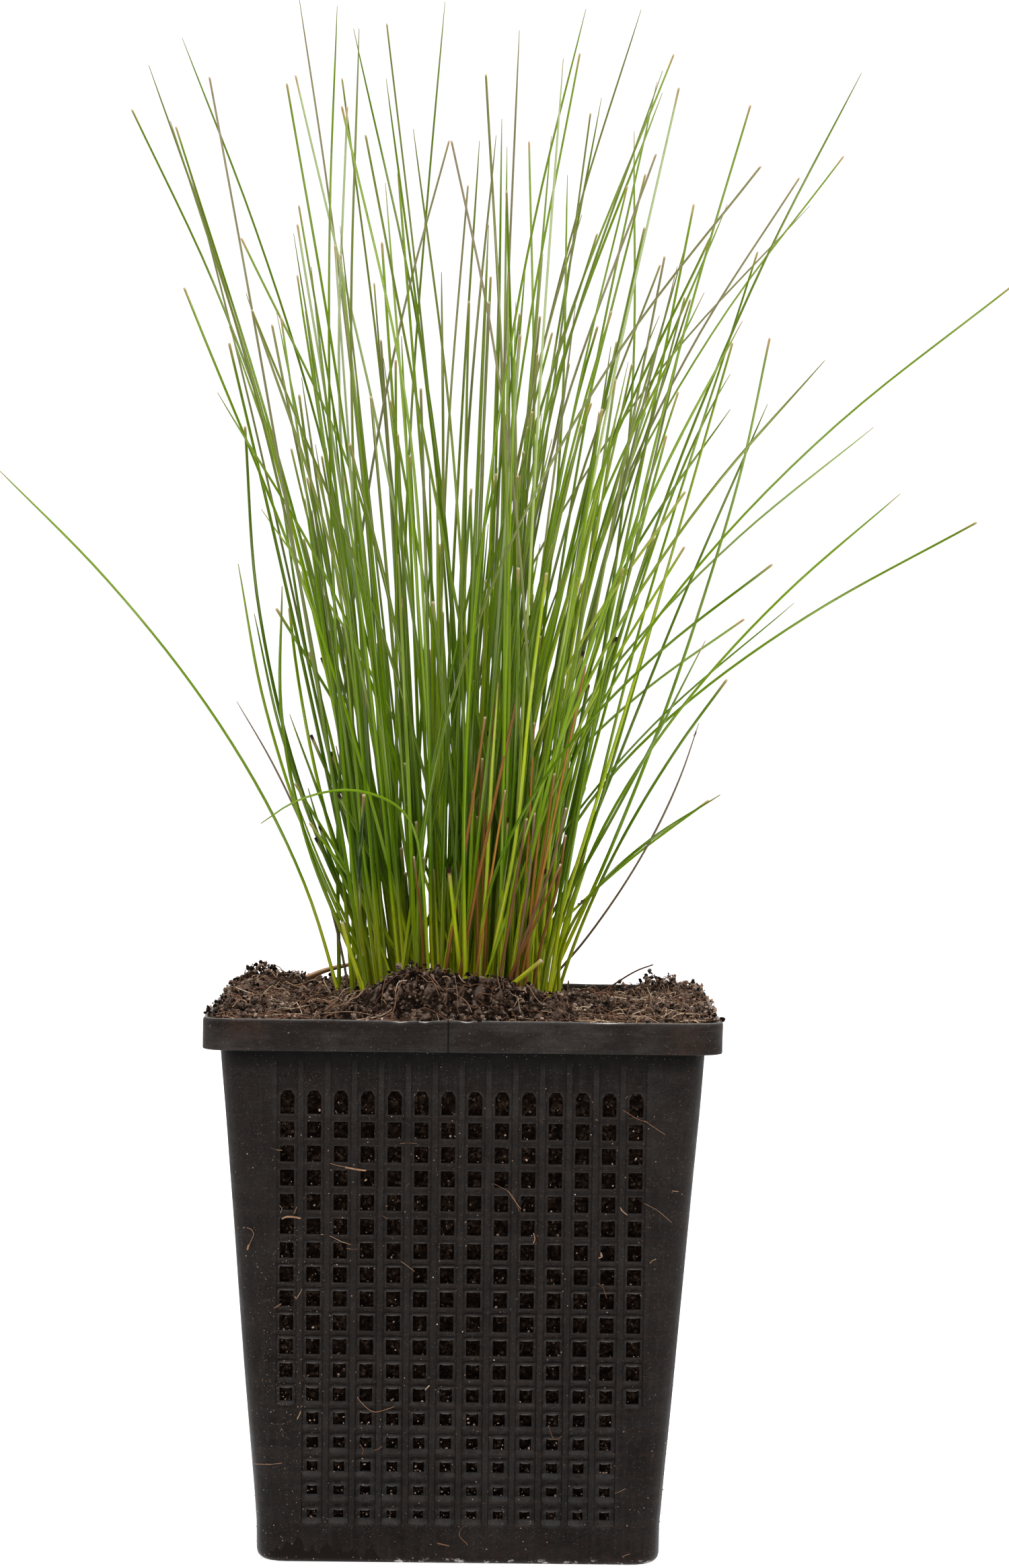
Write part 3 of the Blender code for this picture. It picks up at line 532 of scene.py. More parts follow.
def half_width(z):
    """Half the basket body's outer width at this height."""
    return (FOOT_WIDTH + (TOP_WIDTH - FOOT_WIDTH) * z / RIM_BASE) / 2


def column_middle(column):
    """How far a column's middle is from the middle of its wall."""
    return (column - (COLUMNS - 1) / 2) * PITCH_X


def has_hole(column, row):
    """Whether this column has an opening in this row."""
    return row < WIDE_ROWS or 0 < column < COLUMNS - 1


HOLES = [(column, row) for column in range(COLUMNS) for row in range(ROWS) if has_hole(column, row)]

# Lines across a wall: how far each is from the middle, its column, its part there and the part's offset
ACROSS = [
    (column_middle(column) + offset, column, part, offset)
    for column in range(COLUMNS)
    for part, offset in COLUMN_PARTS
]


def hole_size(row):
    """Width, height, middle and how far towards the lowest row this row is."""
    low = part_way(row, 10, 17)
    width, height = [size + (low_size - size) * low for size, low_size in zip(HOLE, LOW_HOLE)]
    if row == 0:
        return width, ARCH_HEIGHT, FIRST_ROW_Z, 0.0
    return width, height, SECOND_ROW_Z - (row - 1) * PITCH_Z, low


def up_lines():
    """Heights of the wall's lines from the foot up, with the row each belongs to and its part there."""
    lines = [(z, None, "plain") for z in (0.0, 0.0003, 0.0008, 0.0016, 0.0030, 0.0050)]
    for row in range(ROWS - 1, -1, -1):
        _, height, z, low = hole_size(row)
        bottom, top = z - height / 2, z + height / 2
        ledge = LEDGE + 0.00045 * low
        strip = LEDGE + 0.00015 * part_way(row, 3, 7) + 0.00020 * low
        if row == ROWS - 1:
            lines.append((bottom - ledge - 0.0006, row, "sill"))
        lines += [(bottom - ledge, row, "ledge"), (bottom, row, "bottom"), (z, row, "middle")]
        lines += [(top, row, "top"), (top + strip, row, "strip")]
        if row > 0:
            _, above_height, above_z, above_low = hole_size(row - 1)
            above = above_z - above_height / 2 - LEDGE - 0.00045 * above_low
            lines.append(((top + strip + above) / 2, row, "bar"))
    lines += [(0.0860, None, "channel"), (0.0880, None, "channel"), (0.0892, None, "flare")]
    return [*lines, (0.0898, None, "plain"), (RIM_BASE, None, "plain")]


def perimeter_point(wall, u, half, corner, inset, turn=None):
    """A point on a rounded square: at u along a wall, or at this turn round the corner after it."""
    along, out = u, half - inset
    if turn is not None:
        along = half - corner + (corner - inset) * math.sin(turn)
        out = half - corner + (corner - inset) * math.cos(turn)
    # The walls face -Y, +X, +Y and -X in turn
    return ((along, -out), (out, along), (-along, out), (-out, -along))[wall]


def body_point(wall, u, z, inset, turn=None):
    """A point of the basket's body at this height."""
    return perimeter_point(wall, u, half_width(z), BODY_CORNER, inset, turn)


def wall_points(half, squeeze=False):
    """Wall, place along it, turn round the corner after it and number of the line, round one ring."""
    flat = half - BODY_CORNER
    edge = ACROSS[-1][0]
    last = min(edge, flat - 0.0006)
    for wall in range(4):
        yield wall, -flat, None, None
        yield wall, -(flat + last) / 2, None, None
        for index, (u, *_) in enumerate(ACROSS):
            if squeeze and abs(u) > SQUEEZE_PAST:
                share = (abs(u) - SQUEEZE_PAST) / (edge - SQUEEZE_PAST)
                u = math.copysign(SQUEEZE_PAST + share * (last - SQUEEZE_PAST), u)
            yield wall, u, None, index
        yield wall, (flat + last) / 2, None, None
        yield wall, flat, None, None
        for step in range(1, CORNER_CUTS + 1):
            yield wall, None, step / (CORNER_CUTS + 1) * math.pi / 2, None


def recess(index, row, kind):
    """How deep this point of the lattice lies, and how pale its edge is painted: partly scuffs, partly
    painted highlight where edges catch light.
    """
    if index is None or kind in ("plain", "sill"):
        return 0.0, 0.0
    _, column, part, _ = ACROSS[index]
    if kind == "flare":
        return (0.0 if part == "shoulder" else CHANNEL * 0.5), 0.0
    if row is not None and not has_hole(column, row):
        return 0.0, 0.0
    if part == "shoulder":
        return 0.0, 0.22 if kind == "channel" or row == 0 else 0.10
    if kind == "channel":
        return CHANNEL, 0.0
    low = hole_size(row)[3]
    lip = part_way(row, 3, 7)
    if part == "foot":
        depth = {"ledge": 0.22 - 0.20 * low, "bar": 0.22 + 0.05 * low, "strip": 0.22 + 0.20 * low}
        return depth.get(kind, 0.24 + 0.30 * low) / 1000, 0.0
    worn_and_lit = (0.42 + 0.33 * lip) * (1 if part == "inner" else 0.75)
    depth, worn_and_lit = {
        "top": (0.42 - 0.27 * lip + 0.35 * low, worn_and_lit),
        "bottom": (0.42 + 0.55 * low, 0.48),
        "middle": (0.42 + 0.55 * low, 0.15),
        "ledge": (0.20 - 0.22 * low, 0.08 + 0.42 * low),
        "strip": (0.22 + 0.28 * lip + 0.25 * low, 0.0),
        "bar": (0.20 - 0.05 * low, 0.0),
    }[kind]
    return depth / 1000, worn_and_lit


def shape_hole(wall, u, z, index, row, kind):
    """A lattice point's place along the wall and up, in the uneven shape of its row's openings."""
    _, _, part, offset = ACROSS[index]
    width, _, _, low = hole_size(row)
    shown, height = u, z
    if part == "edge":
        shown -= math.copysign((HOLE[0] - width) / 2, offset)
    if part == "inner":
        height -= {"top": 0.00016 * part_way(row, 6, 12), "strip": 0.00008 * low}.get(kind, 0)
    if row == 0 and part == "edge":
        height -= {"top": 0.0010, "strip": 0.0003}.get(kind, 0)
    if row == 0 and (part, kind) == ("inner", "top"):
        shown = u + offset * 0.42
    jitter = noise.noise(Vector((u * 900 + wall * 37, z * 900, 3.1)))
    if part in ("edge", "inner") and kind in ("bottom", "top", "middle"):
        shown += jitter * 0.00006 if part == "edge" else 0
        height += jitter * 0.00007 if kind != "middle" else 0
    return shown, height


class Skin:
    """The basket's corners, with each one's scuffs and painted highlight and how dirty it is, and its faces.
    """

    def __init__(self):
        """Starts empty."""
        self.verts, self.wear, self.stain, self.faces = [], [], [], []

    def add(self, point, worn_and_lit=0.0, dirty=0.0):
        """Adds a corner and gives its number."""
        self.verts.append(point)
        self.wear.append(worn_and_lit)
        self.stain.append(dirty)
        return len(self.verts) - 1


def add_outer_wall(skin, rows):
    """The walls' outer sheet with its ribs and ledges, open at the holes. Gives its rings, foot first."""
    rings = []
    for z, row, kind in rows:
        half = half_width(z)
        ring = []
        squeeze = (row is not None and row >= WIDE_ROWS) or z < SQUEEZE_BELOW
        for wall, u, turn, index in wall_points(half, squeeze):
            inset, worn_and_lit = recess(index, row, kind)
            shown, height = u, z
            if index is not None and row is not None:
                shown, height = shape_hole(wall, u, z, index, row, kind)
            inset += FOOT_ROUND[1] * max(0.0, 1 - z / FOOT_ROUND[0]) ** 2.2
            inset -= max(0.0, half_width(BAND_TOP) - half) * 0.8
            wave = noise.noise(Vector((wall * 11 + (u or 0) * 40, z * 45, 7.7))) * 0.00025
            inset += wave * part_way(z, 0, 0.01) * part_way(RIM_BASE - z, 0, 0.01)
            dirty = 0.35 if kind == "ledge" else 0.1 + 0.35 * max(0.0, 1 - z / 0.006)
            x, y = perimeter_point(wall, shown, half, BODY_CORNER, inset, turn)
            ring.append(skin.add((x, y, height), worn_and_lit, dirty))
        rings.append(ring)
    open_steps = {level: set() for level in range(len(rows))}
    for _, _, bottom, first in holes_in(rows, rings):
        for level in (bottom, bottom + 1):
            open_steps[level].update(range(first, first + 3))
    for level in range(len(rows) - 1):
        join_rings(skin.faces, rings[level], rings[level + 1], open_steps[level])
    return rings


def holes_in(rows, rings):
    """Wall, hole, level of its bottom and number of its first corner there, of every hole."""
    bottoms = {row: level for level, (_, row, kind) in enumerate(rows) if kind == "bottom"}
    for wall in range(4):
        for column, row in HOLES:
            first = wall * len(rings[0]) // 4 + 2 + column * len(COLUMN_PARTS) + 2
            yield wall, (column, row), bottoms[row], first


def add_hole_sides(skin, rows, rings):
    """Sides of the holes, which run in to the inner sheet."""
    per_wall = len(rings[0]) // 4
    for wall, (column, row), bottom, first in holes_in(rows, rings):
        width, tall, middle, _ = hole_size(row)
        loop = [(bottom, first + step) for step in range(4)] + [(bottom + 1, first + 3)]
        loop += [(bottom + 2, first + step) for step in (3, 2, 1, 0)] + [(bottom + 1, first)]
        inner = []
        for level, number in loop:
            offset = ACROSS[(number - 2) % per_wall][3]
            u = column_middle(column) + math.copysign(min(abs(offset), width / 2 - 0.00005), offset)
            z = middle + (level - bottom - 1) * (tall / 2 - 0.00008)
            inner.append(skin.add((*body_point(wall, u, z, WALL), z), 0.0, 0.5))
        join_rings(skin.faces, inner, [rings[level][number] for level, number in loop])


def add_inner_wall(skin):
    """The walls' inner sheet, on the holes' own lines."""
    edges = [u for u, _, part, _ in ACROSS if part == "edge"]
    heights = [FLOOR]
    for row in range(ROWS - 1, -1, -1):
        _, tall, middle, _ = hole_size(row)
        heights += [middle - tall / 2, middle + tall / 2]
    heights.append(RIM_BASE + WALL)
    rings = []
    for level, z in enumerate(heights):
        narrow = 0 < level < len(heights) - 1
        width = hole_size(ROWS - 1 - (level - 1) // 2)[0] if narrow else HOLE[0]
        flat = half_width(z) - BODY_CORNER
        ring = []
        for wall in range(4):
            places = [-flat]
            for number, u in enumerate(edges):
                u += (HOLE[0] - width) / 2 * (1 if number % 2 == 0 else -1)
                places.append(math.copysign(min(abs(u), flat - 0.0002), u))
            ring += [skin.add((*body_point(wall, u, z, WALL), z)) for u in (*places, flat)]
            for turn in (30, 60):
                ring.append(skin.add((*body_point(wall, None, z, WALL, math.radians(turn)), z)))
        rings.append(ring)
    per_wall = len(rings[0]) // 4
    for level in range(len(heights) - 1):
        columns = [column for column, row in HOLES if level % 2 and row == ROWS - 1 - (level - 1) // 2]
        gaps = {wall * per_wall + 1 + 2 * column for wall in range(4) for column in columns}
        join_rings(skin.faces, rings[level + 1], rings[level], gaps)


def add_rim(skin, before):
    """The collar rim on the walls' last ring, with dents and seams, and the ledge back to the inner sheet."""
    for half, corner, z, worn_and_lit in RIM_PROFILE:
        ring = []
        upper = part_way(z, 0.092, 0.0955)
        for wall, u, turn, _ in wall_points(half_width(RIM_BASE)):
            height, inset, marked, smear = z, 0.0, worn_and_lit, 0.05
            if u is not None:
                u = u / (half_width(RIM_BASE) - BODY_CORNER) * (half - corner)
                inset += noise.noise(Vector((wall * 19 + u * 55, 2.2, 0.4))) * 0.00018 * upper
                height += noise.noise(Vector((wall * 23 + u * 160, 5.5, 0.2))) * 0.00012 * upper
            if u is not None and wall == 0:
                for dent_x, depth, reach in RIM_DENTS:
                    near = bell(u, dent_x, reach)
                    height -= depth * near * upper
                    inset += depth * 0.7 * near * upper
                    marked = max(marked, near * 1.7) if z > 0.0959 else marked
                smear += 0.9 * bell(u, -0.0375, 0.0035) * (z > 0.0930) + 0.7 * bell(u, 0.0385, 0.003)
            if u is not None and wall in (0, 2):
                seam = bell(u, -0.0024, 0.0003)
                inset += 0.00008 * seam
                marked = max(marked, 0.3 * seam)
            x, y = perimeter_point(wall, u, half, corner, inset, turn)
            ring.append(skin.add((x, y, height), marked, smear))
        join_rings(skin.faces, before, ring)
        before = ring
    ring = []
    for wall, u, turn, _ in wall_points(half_width(RIM_BASE)):
        ring.append(skin.add((*body_point(wall, u, RIM_BASE, WALL, turn), RIM_BASE + WALL - 0.0001)))
    join_rings(skin.faces, before, ring)


def add_underside(skin, foot):
    """The underside within the foot's ring, with four drain holes."""
    drains = [(x, y) for x in (-DRAIN_OFFSET, DRAIN_OFFSET) for y in (-DRAIN_OFFSET, DRAIN_OFFSET)]
    turns = [step / DRAIN_SIDES * 2 * math.pi for step in range(DRAIN_SIDES)]
    circles = [
        [(x + DRAIN_RADIUS * math.cos(turn), y + DRAIN_RADIUS * math.sin(turn)) for turn in turns]
        for x, y in drains
    ]
    points, edges = [], []
    for outline in ([skin.verts[vert][:2] for vert in foot], *circles):
        first, count = len(points), len(outline)
        points += [Vector(point) for point in outline]
        edges += [(first + step, first + (step + 1) % count) for step in range(count)]
    flat_points, _, triangles, *_ = delaunay_2d_cdt(points, edges, [], 1, 1e-7)
    base = len(skin.verts)
    for point in flat_points:
        skin.add((point.x, point.y, 0.0), 0.2, 0.5)
    for triangle in triangles:
        first, second, third = [flat_points[corner] for corner in triangle]
        middle = (first + second + third) / 3
        inside = any((middle - Vector(drain)).length < DRAIN_RADIUS * 0.98 for drain in drains)
        if inside or max(abs(middle.x), abs(middle.y)) > FOOT_WIDTH / 2:
            continue
        corners = [base + corner for corner in triangle]
        if (second - first).cross(third - first) > 0:
            corners.reverse()
        skin.faces.append(tuple(corners))
    for circle in circles:
        low, high = [[skin.add((x, y, z), 0.1, 0.5) for x, y in circle] for z in (0.0, FLOOR)]
        join_rings(skin.faces, low, high)


def make_basket(material):
    """The basket: lattice walls, collar rim and underside."""
    skin = Skin()
    rows = up_lines()
    rings = add_outer_wall(skin, rows)
    add_hole_sides(skin, rows, rings)
    add_inner_wall(skin)
    add_rim(skin, rings[-1])
    add_underside(skin, rings[0])
    attributes = {"wear": skin.wear, "stain": skin.stain}
    obj = make_object("mesh_basket", skin.verts, skin.faces, material, attributes)
    obj.data.set_sharp_from_angle(angle=math.radians(38))
    return obj


# Soil

# Cells across the soil's top, rings down its side, and steps along a wall and round a corner of each
SOIL_CELLS = 210
SOIL_RINGS = 112
SOIL_STEPS = 90
SOIL_CORNER_STEPS = 4
# How many loose crumbs lie on the soil and on the rim, how many roots, and how many specks a wall has
SOIL_CRUMBS = 8900
RIM_CRUMBS = 420
SOIL_FIBRES = 500
SPECKS_PER_WALL = 380
# Crumbs and roots stay this near the basket's middle
CRUMB_LIMIT = 0.0445
FIBRE_LIMIT = 0.0447

# Heaps whose loose, ragged crumbs stand up from the surface: x, y, reach, rise and how many
RAGGED = [
    (-0.0398, 0.037, 0.0045, 0.0024, 170), (-0.032, 0.037, 0.006, 0.0008, 110),
    (-0.02, 0.037, 0.004, 0.0018, 90), (-0.009, -0.0262, 0.008, 0.0012, 190),
    (0.006, -0.0262, 0.008, 0.001, 130), (0.0345, 0.037, 0.0032, 0.0036, 130),
    (0.0385, 0.0375, 0.003, 0.0026, 90), (0.0425, 0.038, 0.0024, 0.0022, 70),
    (0.0295, 0.038, 0.0028, 0.0022, 70),
]

# A round grain before it is made irregular
GOLDEN_RATIO = (1 + 5**0.5) / 2
GRAIN_CORNERS = [
    (-1, GOLDEN_RATIO, 0), (1, GOLDEN_RATIO, 0), (-1, -GOLDEN_RATIO, 0), (1, -GOLDEN_RATIO, 0),
    (0, -1, GOLDEN_RATIO), (0, 1, GOLDEN_RATIO), (0, -1, -GOLDEN_RATIO), (0, 1, -GOLDEN_RATIO),
    (GOLDEN_RATIO, 0, -1), (GOLDEN_RATIO, 0, 1), (-GOLDEN_RATIO, 0, -1), (-GOLDEN_RATIO, 0, 1),
]
GRAIN_FACES = [
    (0, 11, 5), (0, 5, 1), (0, 1, 7), (0, 7, 10), (0, 10, 11), (1, 5, 9), (5, 11, 4), (11, 10, 2),
    (10, 7, 6), (7, 1, 8), (3, 9, 4), (3, 4, 2), (3, 2, 6), (3, 6, 8), (3, 8, 9), (4, 9, 5),
    (2, 4, 11), (6, 2, 10), (8, 6, 7), (9, 8, 1),
]


def soil_height(x, y):
    """Height of the soil's surface: a lumpy top, with a flat place where the stems stand."""
    height = SOIL_LEVEL
    for heap_x, heap_y, rise, radius in HEAPS:
        height += rise * math.exp(-((x - heap_x) ** 2 + (y - heap_y) ** 2) / radius**2)
    across = (x - CLUMP_CENTRE[0]) / PLATEAU_REACH[0]
    deep = (y - CLUMP_CENTRE[1]) / PLATEAU_REACH[1]
    blend = part_way(math.hypot(across, deep), PLATEAU_EDGE, PLATEAU_EDGE + PLATEAU_BLEND)
    return PLATEAU_LEVEL + (height - PLATEAU_LEVEL) * blend


def clod_relief(x, y):
    """Rounded clods of uneven size with gaps between them, from about -1 to 1."""
    wobble = noise.noise_vector(Vector((x * 700, y * 700, 1.7))) * 0.25
    place = Vector((x * 430, y * 430, 0.6)) + wobble
    large, small = noise.voronoi(place)[0][0], noise.voronoi(place * 2.3)[0][0]
    return max(-1.0, (0.42 - large) * 1.9) * 0.7 + (0.40 - small) * 0.8


def soil_surface(x, y):
    """The soil's surface as it is dressed: the even form, a little higher round the crowns and lumpy."""
    lift = 0.0009 * math.exp(-((x - CLUMP_CENTRE[0]) ** 2 + (y - CLUMP_CENTRE[1]) ** 2) / 0.024**2)
    lumps = noise.noise(Vector((x, y, 0.004)) * 240) * 0.0007
    return soil_height(x, y) + lift + lumps + clod_relief(x, y) * 0.0009


def crumbly(point):
    """Crumb relief between about -1 and 1: rounded grains over a finer roughness."""
    grains = noise.voronoi(point * 900)[0]
    rough = noise.fractal(point * 700, 0.8, 2.1, 4)
    return (0.55 - min(grains[0], 1.0)) * 1.1 + rough * 0.55


def make_soil(material):
    """The crumbly block: its top fills the rim, and its sides stand just inside the lattice."""
    half = RIM_WIDTH / 2 - RIM_WALL - GAP
    corner = RIM_CORNER - RIM_WALL - GAP
    steps = np.linspace(-half, half, SOIL_CELLS + 1)
    verts, faces, tone = [], [], []
    for y in steps:
        for x in steps:
            past_x, past_y = abs(x) - (half - corner), abs(y) - (half - corner)
            px, py = x, y
            reach = math.hypot(past_x, past_y)
            if past_x > 0 and past_y > 0 and reach > corner:
                px = math.copysign(half - corner + past_x * corner / reach, x)
                py = math.copysign(half - corner + past_y * corner / reach, y)
            relief = crumbly(Vector((px, py, 0.3)))
            verts.append((px, py, soil_surface(px, py) + min(relief, 0.4) * 0.0014 - 0.0002))
            # Painted shade in the hollows and gaps of the relief, and a little painted highlight on its tops
            tone.append(max(-1.0, min(0.14, clod_relief(px, py) * 0.9 + relief * 1.1)))
    width = SOIL_CELLS + 1
    for row in range(SOIL_CELLS):
        for first in range(row * width, row * width + SOIL_CELLS):
            faces.append((first, first + 1, first + width + 1, first + width))
    # Sides of the slab in the rim
    ring = list(range(SOIL_CELLS))
    ring += [row * width + SOIL_CELLS for row in range(SOIL_CELLS)]
    ring += [SOIL_CELLS * width + column for column in range(SOIL_CELLS, 0, -1)]
    ring += [row * width for row in range(SOIL_CELLS, 0, -1)]
    slab_base = RIM_BASE + WALL + GAP
    first = len(verts)
    verts += [(*verts[vert][:2], slab_base) for vert in ring]
    join_rings(faces, range(first, len(verts)), ring)
    # The tapered block below it
    before = None
    for z in np.linspace(slab_base, FLOOR + GAP, SOIL_RINGS).tolist():
        body_z = min(z, RIM_BASE)
        flat = half_width(body_z) - BODY_CORNER
        places = [(-flat + 2 * flat * step / SOIL_STEPS, None) for step in range(SOIL_STEPS + 1)]
        places += [(None, step / SOIL_CORNER_STEPS * math.pi / 2) for step in range(1, SOIL_CORNER_STEPS)]
        first = len(verts)
        for wall in range(4):
            for u, turn in places:
                x, y = body_point(wall, u, body_z, WALL + GAP, turn)
                relief = crumbly(Vector((x, y, z)))
                push = max(-1.0, min(0.35, relief * 0.9 - 0.25)) * 0.0011
                verts.append((*body_point(wall, u, body_z, WALL + GAP - push, turn), z))
        line = range(first, len(verts))
        if before:
            join_rings(faces, line, before)
        before = line
    faces.append(tuple(before))
    tone += [0.0] * (len(verts) - len(tone))
    return make_object("soil_block", verts, faces, material, {"tone": tone})


def lump(centre, size, chance):
    """Corners of one irregular crumb."""
    stretch = [size * chance.uniform(0.5, 1.3) for _ in range(3)]
    turn = Matrix.Rotation(chance.uniform(0, 6.3), 3, "Z") @ Matrix.Rotation(chance.uniform(0, 6.3), 3, "X")
    verts = []
    for corner in GRAIN_CORNERS:
        point = Vector(corner).normalized() * chance.uniform(0.72, 1.15)
        point = turn @ Vector([value * scale for value, scale in zip(point, stretch)])
        verts.append(tuple(Vector(centre) + point))
    return verts


def make_crumbs(name, places, material, smooth=False, seed=5):
    """Loose crumbs as one piece. Each place is a centre, a size and a tone."""
    chance = random.Random(seed)
    verts, faces, tone = [], [], []
    for centre, size, shade in places:
        first = len(verts)
        verts += lump(centre, size, chance)
        tone += [shade] * len(GRAIN_CORNERS)
        faces += [tuple(first + corner for corner in triangle) for triangle in GRAIN_FACES]
    return make_object(name, verts, faces, material, {"tone": tone}, smooth=smooth)


def soil_crumb_places():
    """Centres, sizes and tones of the crumbs that make up the soil's surface."""
    chance = random.Random(41)
    half = RIM_WIDTH / 2 - RIM_WALL
    places = []

    def tone(x, y):
        """Dark, plain or pale at random; painted light makes pale crumbs commoner at the right, and painted
        shade makes dark ones commoner in the gaps.
        """
        right = part_way(x, 0.008, 0.020)
        share = chance.random() + 0.20 * right + 0.12 * clod_relief(x, y)
        if share < 0.38:
            return -chance.uniform(0.4, 1.0)
        if share < 0.66:
            return chance.uniform(-0.1, 0.12)
        return chance.uniform(0.2, 0.6) if share < 0.92 + 0.1 * right else chance.uniform(0.6, 1.0)

    def add(x, y, z, size, palest=1.0):
        """One crumb, no paler than this."""
        places.append(((x, y, z), size, min(palest, tone(x, y))))

    for _ in range(SOIL_CRUMBS):
        x, y = chance.uniform(-half, half), chance.uniform(-half, half)
        size = 0.00012 + 0.00036 * chance.random() ** 2.6
        thick = noise.noise(Vector((x * 330, y * 330, 9.0)))
        if thick >= chance.uniform(-0.45, 0.1):
            up = 0.0009 * max(0.0, thick)
            add(x, y, soil_surface(x, y) + up + size * chance.uniform(-0.2, 0.8), size)
    # Along the side edges the crumbs lie on the rim and a little over it
    for _ in range(RIM_CRUMBS):
        side_x, side_y = chance.choice(((-1, 0), (1, 0), (0, 1), (0, -1)))
        run = chance.uniform(-0.042, 0.042)
        out = half + chance.uniform(-0.0012, 0.0011)
        if side_y == -1 and chance.random() < 0.7:
            continue
        x, y = (side_x * out, run) if side_x else (run, side_y * out)
        if side_y == 1 and 0.012 < x < 0.028:
            continue
        size = 0.00018 + 0.0004 * chance.random() ** 2
        add(x, y, BASKET_HEIGHT + size * 0.5 + chance.uniform(-0.0004, 0.0005), size)
    for heap_x, heap_y, reach, rise, count in RAGGED:
        for _ in range(count):
            turn, out = chance.uniform(0, 6.3), reach * chance.random() ** 0.6
            x = within(heap_x + out * math.cos(turn), CRUMB_LIMIT)
            y = within(heap_y + out * math.sin(turn), CRUMB_LIMIT)
            up = rise * (1 - out / reach) * chance.random() ** 0.6
            size = 0.00016 + 0.0004 * chance.random() ** 2
            add(x, y, soil_surface(x, y) + up + size * 0.4, size, 0.45)
    return places


# Where the roots lie on the soil, in turn: from and to in x, from and to in y
FIBRE_PLACES = (
    (0.018, 0.043, -0.042, 0.040), (-0.043, -0.015, -0.040, 0.040), (-0.042, 0.042, -0.042, -0.022),
)

# A twig, a bowed root and a white root with its branch, then threads: points in mm, radius in mm and tint
PLACED_FIBRES = [
    ([(-30, 24, 98.1), (-26.2, 26, 99.5), (-22.2, 28, 100.4)], 0.55, 0.62),
    ([(24.9, 10, 96.8), (29, 10.3, 99.6), (31.8, 10.5, 101.2), (34.5, 10.5, 102.2)], 0.19, 0.05),
    ([(33.1, 0, 98.8), (33.8, 0, 97.4), (34.9, 0.2, 96)], 0.09, 1.0),
    ([(36.2, -0.5, 97.8), (35.2, 0, 96.8), (34.9, 0.2, 96)], 0.07, 1.0),
    ([(-24.5, -34.5, 96.2), (-20, -35, 96.6), (-16.5, -35.2, 96.2), (-15, -36.2, 95.7)], 0.08, 0.8),
    ([(-3, -31, 100.5), (0.5, -33.5, 98.5), (1.5, -36.2, 96.8)], 0.08, 0.75),
]


def soil_fibre_tubes():
    """Roots and threads that lie on the soil: line, radii, tint, pale share and cut share of each."""
    chance = random.Random(77)
    tubes = []
    for number in range(SOIL_FIBRES):
        from_x, to_x, from_y, to_y = FIBRE_PLACES[number % 3]
        x, y = chance.uniform(from_x, to_x), chance.uniform(from_y, to_y)
        heading = chance.uniform(0, 2 * math.pi)
        length = 0.0015 + 0.0075 * chance.random() ** 1.8
        bend = chance.uniform(-1.6, 1.6)
        rise = chance.uniform(0.0001, 0.0009) if chance.random() < 0.8 else chance.uniform(0.001, 0.0022)
        points = []
        for step in range(6):
            share = step / 5
            x = within(x + math.cos(heading + bend * share) * length / 5, FIBRE_LIMIT)
            y = within(y + math.sin(heading + bend * share) * length / 5, FIBRE_LIMIT)
            z = max(soil_surface(x, y), BASKET_HEIGHT - 0.001) + 0.00035
            points.append((x, y, z + rise * math.sin(share * math.pi * 0.9)))
        thick = chance.uniform(0.00005, 0.00014)
        radii = np.linspace(thick, thick * 0.5, 8)
        tubes.append((smooth_line(points, 8), radii, chance.random() ** 1.3, 0.0, 0.0))
    for points, thick, tint in PLACED_FIBRES:
        radii = np.linspace(thick, thick * 0.7, 12) / 1000
        tubes.append((smooth_line([mm(*point) for point in points], 12), radii, tint, 0.0, 0.0))
    return tubes


def seen_at(px, py, depth):
    """The point at this depth that shows at this place of the photograph."""
    across, up = (px - PHOTO_SIZE[0] / 2) / FOCAL, (PHOTO_SIZE[1] / 2 - py) / FOCAL
    way = LOOK.to_3x3() @ Vector((across, up, -1))
    return EYE + way * ((depth - EYE.y) / way.y)


def front_point(px, py, lift=0.0):
    """The point of the basket's front wall that shows at this place of the photograph."""
    z = BASKET_HEIGHT / 2
    for _ in range(4):
        wide = half_width(max(z, BAND_TOP)) if z < RIM_BASE else RIM_WIDTH / 2
        point = seen_at(px, py, -wide - lift)
        z = point.z
    return tuple(point)


